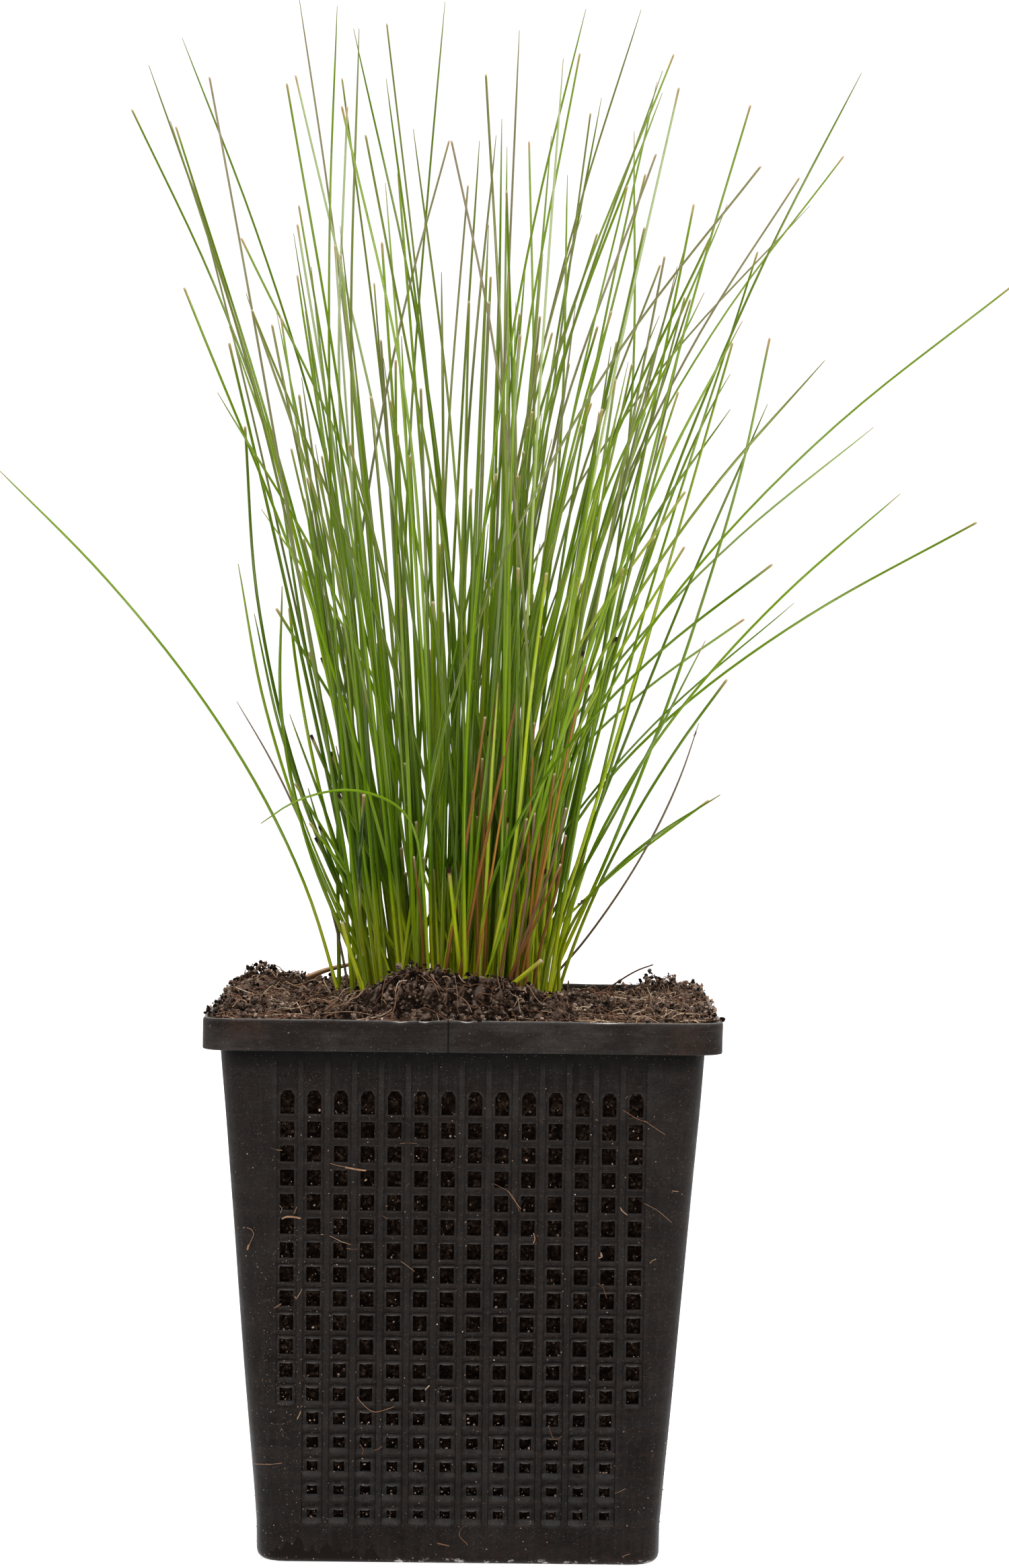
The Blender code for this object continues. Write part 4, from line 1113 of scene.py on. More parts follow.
# Threads and bits on the front wall: radius in mm, tint, then x and y of each point in the photograph
WALL_THREADS = [
    (0.05, 0.55, 486, 1728, 500, 1732, 514, 1735), (0.16, 0.62, 513, 1735, 528, 1738, 543, 1740),
    (0.06, 0.6, 402, 1706, 410, 1709, 419, 1710), (0.04, 0.5, 595, 1700, 608, 1699, 620, 1700),
    (0.16, 0.62, 419, 1812, 425, 1809, 436, 1809, 446, 1811), (0.05, 0.6, 416, 1792, 419, 1797, 417, 1803),
    (0.06, 0.55, 441, 1794, 439, 1800, 437, 1804),
    (0.06, 0.5, 367, 1825, 374, 1828, 377, 1835, 373, 1845, 370, 1852),
    (0.16, 0.55, 370, 1850, 369, 1853, 368, 1857), (0.05, 0.72, 477, 1835, 492, 1838, 508, 1846, 525, 1851),
    (0.05, 0.55, 515, 1856, 523, 1857, 530, 1857), (0.04, 0.65, 596, 1875, 606, 1882, 616, 1890),
    (0.06, 0.7, 449, 1916, 445, 1924, 440, 1931), (0.04, 0.5, 562, 1805, 568, 1807, 576, 1812),
    (0.1, 0.5, 418, 1938, 412, 1942, 408, 1944), (0.12, 0.7, 447, 2098, 445, 2103, 442, 2109),
    (0.06, 0.5, 532, 2079, 544, 2092, 556, 2099, 572, 2096, 586, 2091),
    (0.05, 0.6, 376, 2176, 398, 2177, 419, 2175), (0.1, 0.15, 568, 2150, 562, 2154, 557, 2156),
    (0.1, 0.1, 535, 2147, 540, 2156, 538, 2162), (0.1, 0.45, 650, 2294, 658, 2296, 667, 2298),
    (0.05, 0.45, 698, 2267, 686, 2272, 683, 2283, 695, 2296), (0.09, 0.9, 632, 2066, 635, 2063, 638, 2060),
    (0.05, 0.5, 958, 1666, 974, 1677, 989, 1687), (0.05, 0.4, 926, 1650, 945, 1662, 960, 1668),
    (0.06, 0.55, 755, 1770, 763, 1782, 774, 1797), (0.04, 0.6, 958, 1789, 978, 1800, 998, 1817),
    (0.07, 0.6, 999, 1770, 1003, 1771, 1008, 1771), (0.07, 0.65, 966, 1878, 970, 1874, 975, 1872),
    (0.09, 0.8, 893, 1862, 895, 1868, 890, 1870), (0.08, 0.75, 922, 1795, 925, 1800, 932, 1806),
    (0.08, 0.65, 793, 1833, 795, 1842, 793, 1848), (0.04, 0.4, 735, 1760, 760, 1775, 772, 1800),
    (0.04, 0.3, 880, 1905, 895, 1912, 902, 1930), (0.05, 0.3, 815, 2120, 825, 2140, 842, 2130),
    (0.05, 0.6, 914, 2220, 922, 2217, 930, 2213), (0.06, 0.5, 925, 2314, 930, 2312, 936, 2310),
]

# Specks there: place in the photograph, radius in mm and how pale
WALL_SPECKS = [
    (388, 1680, 0.20, 1.0), (414, 1668, 0.15, 0.9), (459, 1666, 0.16, 0.8), (434, 1648, 0.16, 0.8),
    (501, 1655, 0.15, 0.8), (553, 1654, 0.18, 1.0), (600, 1659, 0.18, 1.0), (440, 1687, 0.14, 0.6),
    (504, 1692, 0.15, 0.8), (546, 1693, 0.15, 0.8), (447, 1704, 0.16, 0.7), (465, 1726, 0.15, 0.7),
    (535, 1776, 0.24, 0.55), (491, 1767, 0.14, 0.6), (519, 1784, 0.16, 0.7), (509, 1810, 0.36, 0.6),
    (492, 1817, 0.22, 0.6), (449, 1820, 0.18, 0.7), (605, 1810, 0.16, 0.7), (594, 1815, 0.2, 0.6),
    (363, 1825, 0.40, 0.4), (366, 1867, 0.26, 1.0), (407, 1834, 0.2, 0.4), (485, 1850, 0.22, 0.8),
    (570, 1852, 0.24, 0.6), (521, 1874, 0.26, 0.6), (501, 1880, 0.32, 0.6), (444, 1880, 0.22, 0.7),
    (582, 1869, 0.34, 0.4), (548, 1885, 0.2, 0.7), (440, 1931, 0.2, 0.7), (384, 1952, 0.30, 0.4),
    (402, 1951, 0.24, 0.6), (376, 1960, 0.22, 0.5), (432, 1947, 0.18, 0.6), (684, 1926, 0.2, 0.45),
    (585, 1965, 0.36, 0.4), (492, 1977, 0.18, 0.8), (421, 2076, 0.30, 0.7), (450, 2076, 0.22, 0.8),
    (446, 2056, 0.2, 0.7), (457, 2061, 0.18, 0.8), (480, 2068, 0.2, 0.7), (584, 2080, 0.34, 0.45),
    (691, 2044, 0.22, 0.7), (407, 2097, 0.2, 0.5), (426, 2100, 0.26, 0.3), (424, 2108, 0.30, 0.3),
    (428, 2114, 0.24, 0.3), (419, 2125, 0.30, 0.35), (420, 2133, 0.2, 0.5), (521, 2142, 0.17, 1.0),
    (427, 2236, 0.16, 0.8), (434, 2251, 0.24, 0.35), (434, 2295, 0.24, 0.6), (694, 2297, 0.18, 0.5),
    (911, 1763, 0.34, 0.65), (924, 1799, 0.26, 0.7), (967, 1825, 0.16, 0.7), (799, 1837, 0.16, 1.0),
    (771, 1902, 0.24, 0.55), (927, 1868, 0.14, 1.0), (893, 1866, 0.3, 0.6), (822, 2035, 0.3, 0.35),
    (440, 2314, 0.18, 1.0), (466, 2317, 0.2, 0.7), (525, 2315, 0.22, 0.9), (560, 2318, 0.16, 0.8),
    (630, 2318, 0.2, 0.8), (400, 2310, 0.14, 0.8), (865, 2068, 0.18, 0.8), (870, 1950, 0.14, 0.8),
]

# Fine dirt at the left of the front: middle in the photograph, reach and how many specks
DIRT_PATCHES = (
    (425, 1900, 60, 90), (430, 2100, 55, 110), (400, 2020, 40, 40), (500, 1800, 90, 60), (400, 2290, 50, 30),
)


def wall_dirt():
    """Crumbs on the holes' sills and specks on the walls."""
    chance = random.Random(19)
    places = []
    for wall in range(4):
        for column, row in HOLES:
            width, tall, middle, low = hole_size(row)
            for _ in range(chance.choice((0, 1, 1, 2, 3)) + (2 if low > 0.3 else 0)):
                u = column_middle(column) + chance.uniform(-0.42, 0.42) * width
                size = chance.uniform(0.00010, 0.00024)
                z = middle - tall / 2 + size * 0.8 + (chance.random() ** 3) * tall * 0.6
                x, y = body_point(wall, u, z, chance.uniform(0.0007, 0.0012))
                places.append(((x, y, z), size, chance.random() ** 1.5))
        for _ in range(SPECKS_PER_WALL):
            u = chance.uniform(-0.034, 0.034)
            z = 0.003 + 0.087 * chance.random() ** 1.15
            size = chance.uniform(0.00004, 0.00012)
            places.append(((*body_point(wall, u, z, -0.00002), z), size, chance.uniform(0.1, 1.0)))
    for px, py, size, shade in WALL_SPECKS:
        places.append((front_point(px, py), size / 2000, shade))
    for centre_x, centre_y, reach, count in DIRT_PATCHES:
        for _ in range(count):
            px, py = chance.gauss(centre_x, reach * 0.5), chance.gauss(centre_y, reach)
            px = max(352 + (py - 1850) * 0.06, px)
            size = chance.uniform(0.00004, 0.00009)
            places.append((front_point(px, min(2316, py)), size, chance.uniform(0.3, 1)))
    return places


# Tubes


def smooth_line(points, count):
    """Evenly spaced points on a smooth curve through these ones."""
    points = np.array([tuple(point) for point in points], dtype=float)
    spans = np.linalg.norm(np.diff(points, axis=0), axis=1)
    knots = np.concatenate([[0], np.cumsum(np.maximum(spans, 1e-6))])
    padded = np.vstack([2 * points[0] - points[1], points, 2 * points[-1] - points[-2]])
    times = np.concatenate([[-spans[0]], knots, [knots[-1] + spans[-1]]])
    made = []
    for when in np.linspace(0, knots[-1], count):
        index = min(max(int(np.searchsorted(knots, when, side="right")) - 1, 0), len(points) - 2)
        earlier, start, end, later = times[index : index + 4]
        point_before, first, second, point_after = padded[index : index + 4]
        leaving = (second - point_before) / (end - earlier) * (end - start)
        arriving = (point_after - first) / (later - start) * (end - start)
        share = (when - start) / (end - start)
        square, cube = share**2, share**3
        point = (2 * cube - 3 * square + 1) * first + (cube - 2 * square + share) * leaving
        made.append(point + (-2 * cube + 3 * square) * second + (cube - square) * arriving)
    return np.array(made)


def run_along(line):
    """How far along the line each of its points is."""
    return np.concatenate([[0], np.cumsum(np.linalg.norm(np.diff(line, axis=0), axis=1))])


def make_tubes(name, tubes, sides, material):
    """Round tubes as one piece. Each has its line, radii, tint, pale share and whether its tip is cut."""
    verts, faces, around = [], [], []
    values = {key: [] for key in ("along", "from_tip", "tint", "pale", "blunt")}
    angles = [step / sides * 2 * math.pi for step in range(sides)]
    for line, radii, *tones in tubes:
        count = len(line)
        tangents = np.gradient(line, axis=0)
        tangents /= np.linalg.norm(tangents, axis=1)[:, None]
        side = np.cross(tangents, (0.0, 1.0, 0.02))
        side /= np.linalg.norm(side, axis=1)[:, None]
        other = np.cross(tangents, side)
        run = run_along(line)
        first = len(verts)
        for step in range(count):
            for angle in angles:
                spoke = side[step] * math.cos(angle) + other[step] * math.sin(angle)
                verts.append(tuple(line[step] + spoke * radii[step]))
                around.append((math.cos(angle), math.sin(angle), 0))
            values["along"] += [run[step] / run[-1]] * sides
            values["from_tip"] += [(run[-1] - run[step]) * 1000] * sides
        blunt = tones[2]
        verts.append(tuple(line[-1] + tangents[-1] * radii[-1] * (0.25 if blunt else 1.6)))
        around.append((0, 0, 0))
        values["along"].append(1.0)
        values["from_tip"].append(0.0)
        for key, value in zip(("tint", "pale", "blunt"), tones):
            values[key] += [value] * (count * sides + 1)
        for low in range(first, first + (count - 1) * sides, sides):
            for turn in range(sides):
                after = (turn + 1) % sides
                faces.append((low + turn, low + sides + turn, low + sides + after, low + after))
        last = first + (count - 1) * sides
        for turn in range(sides):
            faces.append((last + turn, last + sides, last + (turn + 1) % sides))
    return make_object(name, verts, faces, material, {**values, "around": around})


# Stem routes, as in the CAD model


def mm(*values):
    """A point given in millimetres."""
    return Vector(values) / 1000


def along_sight(x, z, depth):
    """The point at this depth that shows where this one in the middle plane does."""
    return EYE + (Vector((x, 0, z)) - EYE) * ((depth - EYE.y) / -EYE.y)


def smooth_route(base, middle, tip, shares):
    """Points at these shares of the height on an even bow from base to tip that passes near the middle."""
    rise = tip.z - base.z
    middle_share = (middle.z - base.z) / rise
    lean = tip.x - base.x
    sag = (lean * middle_share - (middle.x - base.x)) / (middle_share * (1 - middle_share))
    sag = within(sag, abs(lean) + MOST_SAG)
    route = []
    for share in shares:
        x = base.x + lean * share - sag * share * (1 - share)
        y = base.y + (tip.y - base.y) * share**DEPTH_CURVE
        route.append(Vector((x, y, base.z + rise * share)))
    return route


def free_feet():
    """Places for the free stems' feet, on two rings round the tufts."""
    feet = []
    for ring, (across, deep) in enumerate(FREE_RINGS):
        for spot in range(FREE_PLACES):
            turn = (spot + ring / 2) / FREE_PLACES * 2 * math.pi
            x = CLUMP_CENTRE[0] + across * math.cos(turn)
            feet.append(Vector((x, CLUMP_CENTRE[1] + deep * math.sin(turn), CROWN_BASE)))
    return feet


def wanted_foot(base_x, depth, deep):
    """Where a stem's foot would best stand, for where its base shows and how deep its tip is."""
    across, reach = FREE_RINGS[0]
    x = min(max(base_x, CLUMP_CENTRE[0] - across), CLUMP_CENTRE[0] + across)
    edge = reach * math.sqrt(1 - ((x - CLUMP_CENTRE[0]) / across) ** 2)
    share = within((depth - CLUMP_CENTRE[1]) / deep, 1)
    return Vector((x, CLUMP_CENTRE[1] + share * edge))


def clump_reach(z):
    """The clump's half width and half depth at this height."""
    return [foot + spread * (z - CROWN_BASE) for foot, spread in zip(CLUMP_FOOT, CLUMP_SPREAD)]


def tip_depth(x, z, order):
    """A depth for this tip that spreads the tips evenly through the clump."""
    across, deep = clump_reach(z)
    share = min(TIP_REACH, abs(x - CLUMP_CENTRE[0]) / across)
    spot = 2 * ((order * GOLDEN + FIRST_TIP) % 1) - 1
    return CLUMP_CENTRE[1] + spot * deep * math.sqrt(1 - share**2)


def crown_places():
    """The crowns' middles, in staggered rows."""
    places = []
    for row, count in enumerate(CROWN_ROWS):
        y = (row - (len(CROWN_ROWS) - 1) / 2) * CROWN_SPACING * math.sqrt(3) / 2
        for column in range(count):
            x = (column - (count - 1) / 2) * CROWN_SPACING
            places.append(Vector((CLUMP_CENTRE[0] + x, CLUMP_CENTRE[1] + y, 0)))
    return places


def choose_feet(wanted, places):
    """The place for each wanted foot, swapped about until the feet miss their wishes by least."""
    chosen = list(range(len(places)))

    def miss(order, spot):
        """How far this place is from what was wanted, squared."""
        return (places[spot].xy - wanted[order]).length_squared if order < len(wanted) else 0

    improved = True
    while improved:
        improved = False
        for first in range(len(wanted)):
            for second in range(first + 1, len(places)):
                now = miss(first, chosen[first]) + miss(second, chosen[second])
                swapped = miss(first, chosen[second]) + miss(second, chosen[first])
                if swapped < now - 1e-12:
                    chosen[first], chosen[second] = chosen[second], chosen[first]
                    improved = True
    return chosen


def free_routes():
    """The free stems' routes by name."""
    shares = [step / FREE_STEM_STEPS for step in range(FREE_STEM_STEPS + 1)]
    places = free_feet()
    wanted = [wanted_foot(base_x / 1000, depth / 1000, FREE_DEPTH) for *_, base_x, depth in FREE_STEMS]
    routes = {}
    for spot, (name, *seen, _, depth) in zip(choose_feet(wanted, places), FREE_STEMS):
        base = places[spot]
        tip_point = along_sight(*mm(*seen[:2]), depth / 1000)
        middle_point = along_sight(*mm(*seen[2:]), (depth / 1000 + base.y) / 2)
        routes[name] = smooth_route(base, middle_point, tip_point, shares)
    return routes


def tuft_feet():
    """Where each tuft's six stems start: the tuft's number, the stem's, and the point."""
    feet = []
    out = CROWN_RADIUS * math.cos(math.pi / 6) * 2 / 3
    for number, centre in enumerate(crown_places()):
        for facet in range(6):
            turn = math.radians(60 * facet)
            offset = Vector((math.cos(turn), math.sin(turn), 0)) * out
            feet.append((number, facet, centre + offset + Vector((0, 0, CROWN_BASE + CROWN_HEIGHT))))
    return feet


def tuft_route(foot, middle, tip):
    """A tuft stem's route, with a point just over its foot."""
    shares = [TUFT_FOOT_RISE / (tip.z - foot.z), *TUFT_STEM_HEIGHTS]
    return [foot, *smooth_route(foot, middle, tip, shares)]


def tuft_routes():
    """The tufts' stems' routes: the listed ones, then others that fill the feet left."""
    chance = random.Random(FILL_SEED)
    feet = tuft_feet()
    tips = [mm(*stem[:2]) for stem in TUFT_STEMS]
    depths = [tip_depth(*tip, order) for order, tip in enumerate(tips)]
    wanted = [
        wanted_foot(stem[4] / 1000, depth, clump_reach(tip.y)[1])
        for stem, tip, depth in zip(TUFT_STEMS, tips, depths)
    ]
    chosen = choose_feet(wanted, [foot for _, _, foot in feet])
    routes = {}
    for spot, stem, tip, depth in zip(chosen, TUFT_STEMS, tips, depths):
        number, facet, foot = feet[spot]
        middle_point = along_sight(*mm(*stem[2:4]), (depth + foot.y) / 2)
        routes[number, facet] = tuft_route(foot, middle_point, along_sight(*tip, depth))
    for spot in chosen[len(TUFT_STEMS) :]:
        number, facet, foot = feet[spot]
        height = chance.uniform(*FILL_HEIGHTS)
        across, deep = clump_reach(foot.z + height)
        out = foot.xy - Vector(CLUMP_CENTRE)
        spread = Vector((out.x / FILL_FOOT[0] * across, out.y / FILL_FOOT[1] * deep))
        spread *= chance.uniform(*FILL_SPREAD)
        tip_point = Vector((*(Vector(CLUMP_CENTRE) + spread), foot.z + height))
        middle_point = foot.lerp(tip_point, 0.5) - Vector((*(spread - out), 0)) * FILL_BOW
        routes[number, facet] = tuft_route(foot, middle_point, tip_point)
    return routes


def keep_apart(routes):
    """The routes with their points pushed aside until no two stems touch."""
    points = [np.array([tuple(point) for point in route]) for route in routes]
    levels = np.arange(CROWN_BASE + SPACING_FIRST, SPACING_TOP, SPACING_STEP)
    for _ in range(SPACING_ROUNDS):
        places = np.full((len(points), len(levels), 2), np.nan)
        for index, route in enumerate(points):
            inside = levels <= route[-1, 2]
            for axis in (0, 1):
                places[index, inside, axis] = np.interp(levels[inside], route[:, 2], route[:, axis])
        moved = False
        for column, level in enumerate(levels):
            here = places[:, column]
            present = np.flatnonzero(~np.isnan(here[:, 0]))
            distance = np.linalg.norm(here[present, None] - here[None, present], axis=2)
            first, second = np.nonzero(np.triu(distance < CLEARANCE, 1))
            for one, other in zip(present[first], present[second]):
                push = here[one] - here[other]
                length = max(np.linalg.norm(push), 1e-6)
                push = push / length * (CLEARANCE - length) * SPACING_PUSH
                for index, sign in ((one, 1), (other, -1)):
                    route = points[index]
                    upper = min(max(int(np.searchsorted(route[:, 2], level)), 1), len(route) - 1)
                    lower_z, upper_z = route[upper - 1 : upper + 1, 2]
                    share = (level - lower_z) / (upper_z - lower_z)
                    route[upper, :2] += sign * push * share
                    if upper > 1:
                        route[upper - 1, :2] += sign * push * (1 - share)
                moved = True
        if not moved:
            break
    return [[Vector(point) for point in route] for route in points]


# Stems

# How far feet run down into the soil
SUNK = 0.0035

# Height over which stems grow slimmer, and the length of a drawn-out tip
SLIMMING_RISE = 0.185
DRAWN_OUT = 0.016

# Cut tips are dark only below this height
DARK_CUT_BELOW = 0.168

# Filling stems: how many stand between two of the tufts' own, how many cross them, how many of those
# come before the tall ones, and how many dry ones stand among the green
BETWEEN_STEMS = 165
CROSSING_STEMS = 162
FIRST_TALL = 130
DRY_AMONG_GREEN = 8
# Half width and half depth of the ground that they stand on, and how far out in the clump one may aim
FILLING_FOOT = (0.0195, 0.0175)
FARTHEST_AIM = 0.93

# Free stems that are finer than the rest
FINE_STEMS = (
    "far_left", "long_right", "right_spray", "right_spray_curved", "right_spray_thin", "right_low",
    "right_low_upper", "right_low_lower", "right_lowest", "far_right_thin", "right_hooked",
)

# Free stems that are brown, two of which meet at their cut tips
BROWN_STEMS = ("crossed_left", "with_spikelet", "left_brown", "right_brown")

# Where the clump lets light through from the front: x from and to, height from and to, in mm, and the share
# of filling stems that may end there
OPEN_PLACES = [
    (-13, 1, 192, 300, 0.10), (-18, 1, 125, 192, 0.14), (2, 10, 196, 300, 0.30), (28, 60, 130, 196, 0.25),
    (-60, -34, 130, 215, 0.15), (-28, -18, 160, 262, 0.20),
]

# Sheaves of filling stems: how many, feet and tips from and to in x, tips from and to in height, in mm
SHEAVES = [
    (9, -20, -9, -31, -22, 150, 200), (11, -19, -10, -34, -25, 192, 238), (5, -20, -15, -37, -31, 196, 222),
    (12, -2, 13, 5, 20, 190, 232), (4, 6, 14, 23, 32, 196, 222), (8, 6, 14, 32, 40, 204, 234),
]

# Dry stems and stubs at the front of the clump: points in mm, radius and how pale
DRY_LINES = [
    ([(-1.6, -16.8, 95), (-0.6, -17.2, 103), (3.6, -17.8, 126), (8.8, -18.6, 151)], 0.00050, 0.35),
    ([(5.8, -16.9, 95), (8.2, -17.4, 102), (12.8, -18.2, 112), (16.9, -19.0, 122)], 0.00042, 0.25),
    ([(-4.2, -16.0, 95), (-3.0, -16.4, 105), (1.0, -17.4, 132), (3.2, -17.9, 148)], 0.00046, 0.45),
    ([(5.2, -16.2, 95), (6.6, -16.6, 103), (8.6, -17.1, 116), (10.8, -17.8, 130)], 0.00046, 0.15),
    ([(1.0, -16.3, 95), (2.6, -16.9, 106), (4.8, -17.4, 121), (6.9, -17.9, 135)], 0.00038, 0.9),
    ([(-8.2, -15.6, 95), (-7.4, -16.0, 101), (-7.9, -16.9, 112), (-9.2, -17.6, 123)], 0.00036, 0.2),
    ([(8.6, -15.8, 95), (9.6, -16.6, 106), (11.4, -17.4, 120), (12.2, -17.9, 131)], 0.00044, 0.05),
    ([(7.0, -15.6, 95), (9.8, -16.4, 106), (14.8, -17.6, 120), (17.8, -18.4, 132)], 0.00042, 0.1),
    ([(11.8, -11.6, 95), (13.4, -12.6, 106), (16.4, -14.0, 118), (17.8, -14.8, 127)], 0.00040, 0.2),
]

# A dark glossy stem: places in the photograph and depths
GLOSSY_LINE = [(541, 1420, -0.0155), (536, 1380, -0.0175), (534, 1300, -0.0200), (541, 1181, -0.0235)]

# Short cut stems that lean out over the soil at the front: points in mm and radius
SHORT_LINES = [
    ([(5.6, -18.6, 96.5), (8.0, -19.4, 99.8), (11.0, -20.4, 102.6), (13.7, -21.4, 105.0)], 0.00052),
    ([(-17.5, -12.6, 96), (-18.6, -13.6, 100), (-20.6, -14.6, 106), (-22.0, -15.2, 111)], 0.00042),
]

# Small brown spikelets, each on the stem that shows there: place in the photograph and size in mm
SPIKELETS = [(737, 498, 0.62), (720, 1092, 0.50), (860, 1335, 0.70), (1043, 1090, 0.42), (705, 1010, 0.40)]
SPIKELET_SCALES = 11

# How many sides stems, and roots and threads, have
STEM_SIDES = 6
FIBRE_SIDES = 4


def radii_up(line, size, blunt):
    """A stem's radii: slimmer with height, and drawn out to a point unless it was cut."""
    rise = np.clip((line[:, 2] - CROWN_BASE) / SLIMMING_RISE, 0, 1)
    radii = size * (1 - 0.60 * rise**0.5)
    if not blunt:
        run = run_along(line)
        radii *= np.clip((run[-1] - run) / DRAWN_OUT, 0, 1) ** 0.6 * 0.7 + 0.3
    return radii


def cut_tone(blunt, line):
    """Whether a tip is cut, 1, or cut long ago and dark, 2, which only low ones are."""
    return min(blunt, 1.0) if line[-1][2] > DARK_CUT_BELOW else blunt


def leaning_share(route):
    """How much slimmer a stem is that leans far out."""
    way = route[-1] - route[0]
    return 1 - 0.35 * part_way(abs(way.x) / way.z, 0.25, 0.65)


def stem_line(route, count):
    """A stem's line along the route, with its foot run down into the soil."""
    lean = (route[1] - route[0]).normalized()
    below = route[0] - Vector((lean.x * 0.4, lean.y * 0.4, 1)) * SUNK
    return smooth_line([below, *route], count)


def make_spikelets(tubes, material):
    """Clusters of brown scales round the stems that show where a spikelet does."""
    chance = random.Random(3)
    eye = np.array(EYE)
    places = []
    for px, py, size in SPIKELETS:
        wanted = np.array(seen_at(px, py, 0.0)) - eye
        best = None
        for line, *_ in tubes:
            way = line - eye
            miss = np.linalg.norm(way * (wanted[1] / way[:, 1])[:, None] - wanted, axis=1)
            nearest = int(np.argmin(miss))
            score = miss[nearest] + max(0.0, line[nearest][1]) * 0.02
            if best is None or score < best[0]:
                best = (score, line, nearest)
        _, line, nearest = best
        nearest = min(max(nearest, 1), len(line) - 2)
        along = Vector(line[nearest + 1] - line[nearest - 1]).normalized()
        for step in range(SPIKELET_SCALES):
            share = step / (SPIKELET_SCALES - 1) - 0.5
            swell = 1 - (2 * share) ** 2
            side = Vector((chance.uniform(-1, 1), chance.uniform(-1, 1), 0)) * size * 0.0003 * swell
            spot = Vector(line[nearest]) + along * share * size * 0.0030 + side
            places.append((spot, size * (0.22 + 0.30 * swell) / 1000, chance.uniform(0.0, 0.5)))
    return make_crumbs("spikelets", places, material, seed=12)


def in_open_place(point, chance):
    """Whether a filling stem with this tip is left out, so that light shows through there."""
    stretch = -EYE.y / (point[1] - EYE.y)
    x = (EYE.x + (point[0] - EYE.x) * stretch) * 1000
    z = (EYE.z + (point[2] - EYE.z) * stretch) * 1000
    share = 1.0
    for from_x, to_x, from_z, to_z, kept in OPEN_PLACES:
        if from_x < x < to_x and from_z < z < to_z:
            share = kept
    return chance.random() > share


def stem_tones(foot_x, chance):
    """Tint and pale share of a stem: stems at the left are a deeper green at their feet."""
    left = part_way(0.004 - foot_x, 0, 0.012)
    pale = chance.random() ** (1 + 0.3 * left) * (1 - 0.15 * left)
    return chance.random(), 0.05 + 0.95 * pale


def dress_routes(free, tufts, pieces, chance):
    """Tubes along the routes that the CAD model has too."""
    for name, route in free.items():
        line = stem_line(route, 30)
        blunt = float(chance.random() < 0.35 or name in BROWN_STEMS)
        if name in DRY_STEMS:
            radii = radii_up(line, 0.00026, 0.0)
            pieces["stems_dry_free"].append((line, radii, 0.1 * chance.random(), 0.0, 0.0))
            continue
        fine = name in FINE_STEMS
        size = 0.00036 if fine else 0.00042
        tint, pale = stem_tones(route[0].x, chance)
        pale = 0.22 + 0.5 * pale * (0.6 if fine else 1)
        if name == "arched":
            size, pale = 0.00032, 0.5
        if name in BROWN_STEMS:
            tint *= 0.04
        pieces["stems_free"].append((line, radii_up(line, size, blunt), tint, pale, blunt))
    for route in tufts:
        line = stem_line(route, 26)
        blunt = float(chance.random() < 0.5)
        size = chance.uniform(0.00040, 0.00047) * leaning_share(route)
        tube = (line, radii_up(line, size, blunt), *stem_tones(route[0].x, chance), blunt)
        pieces["stems_tufts"].append(tube)


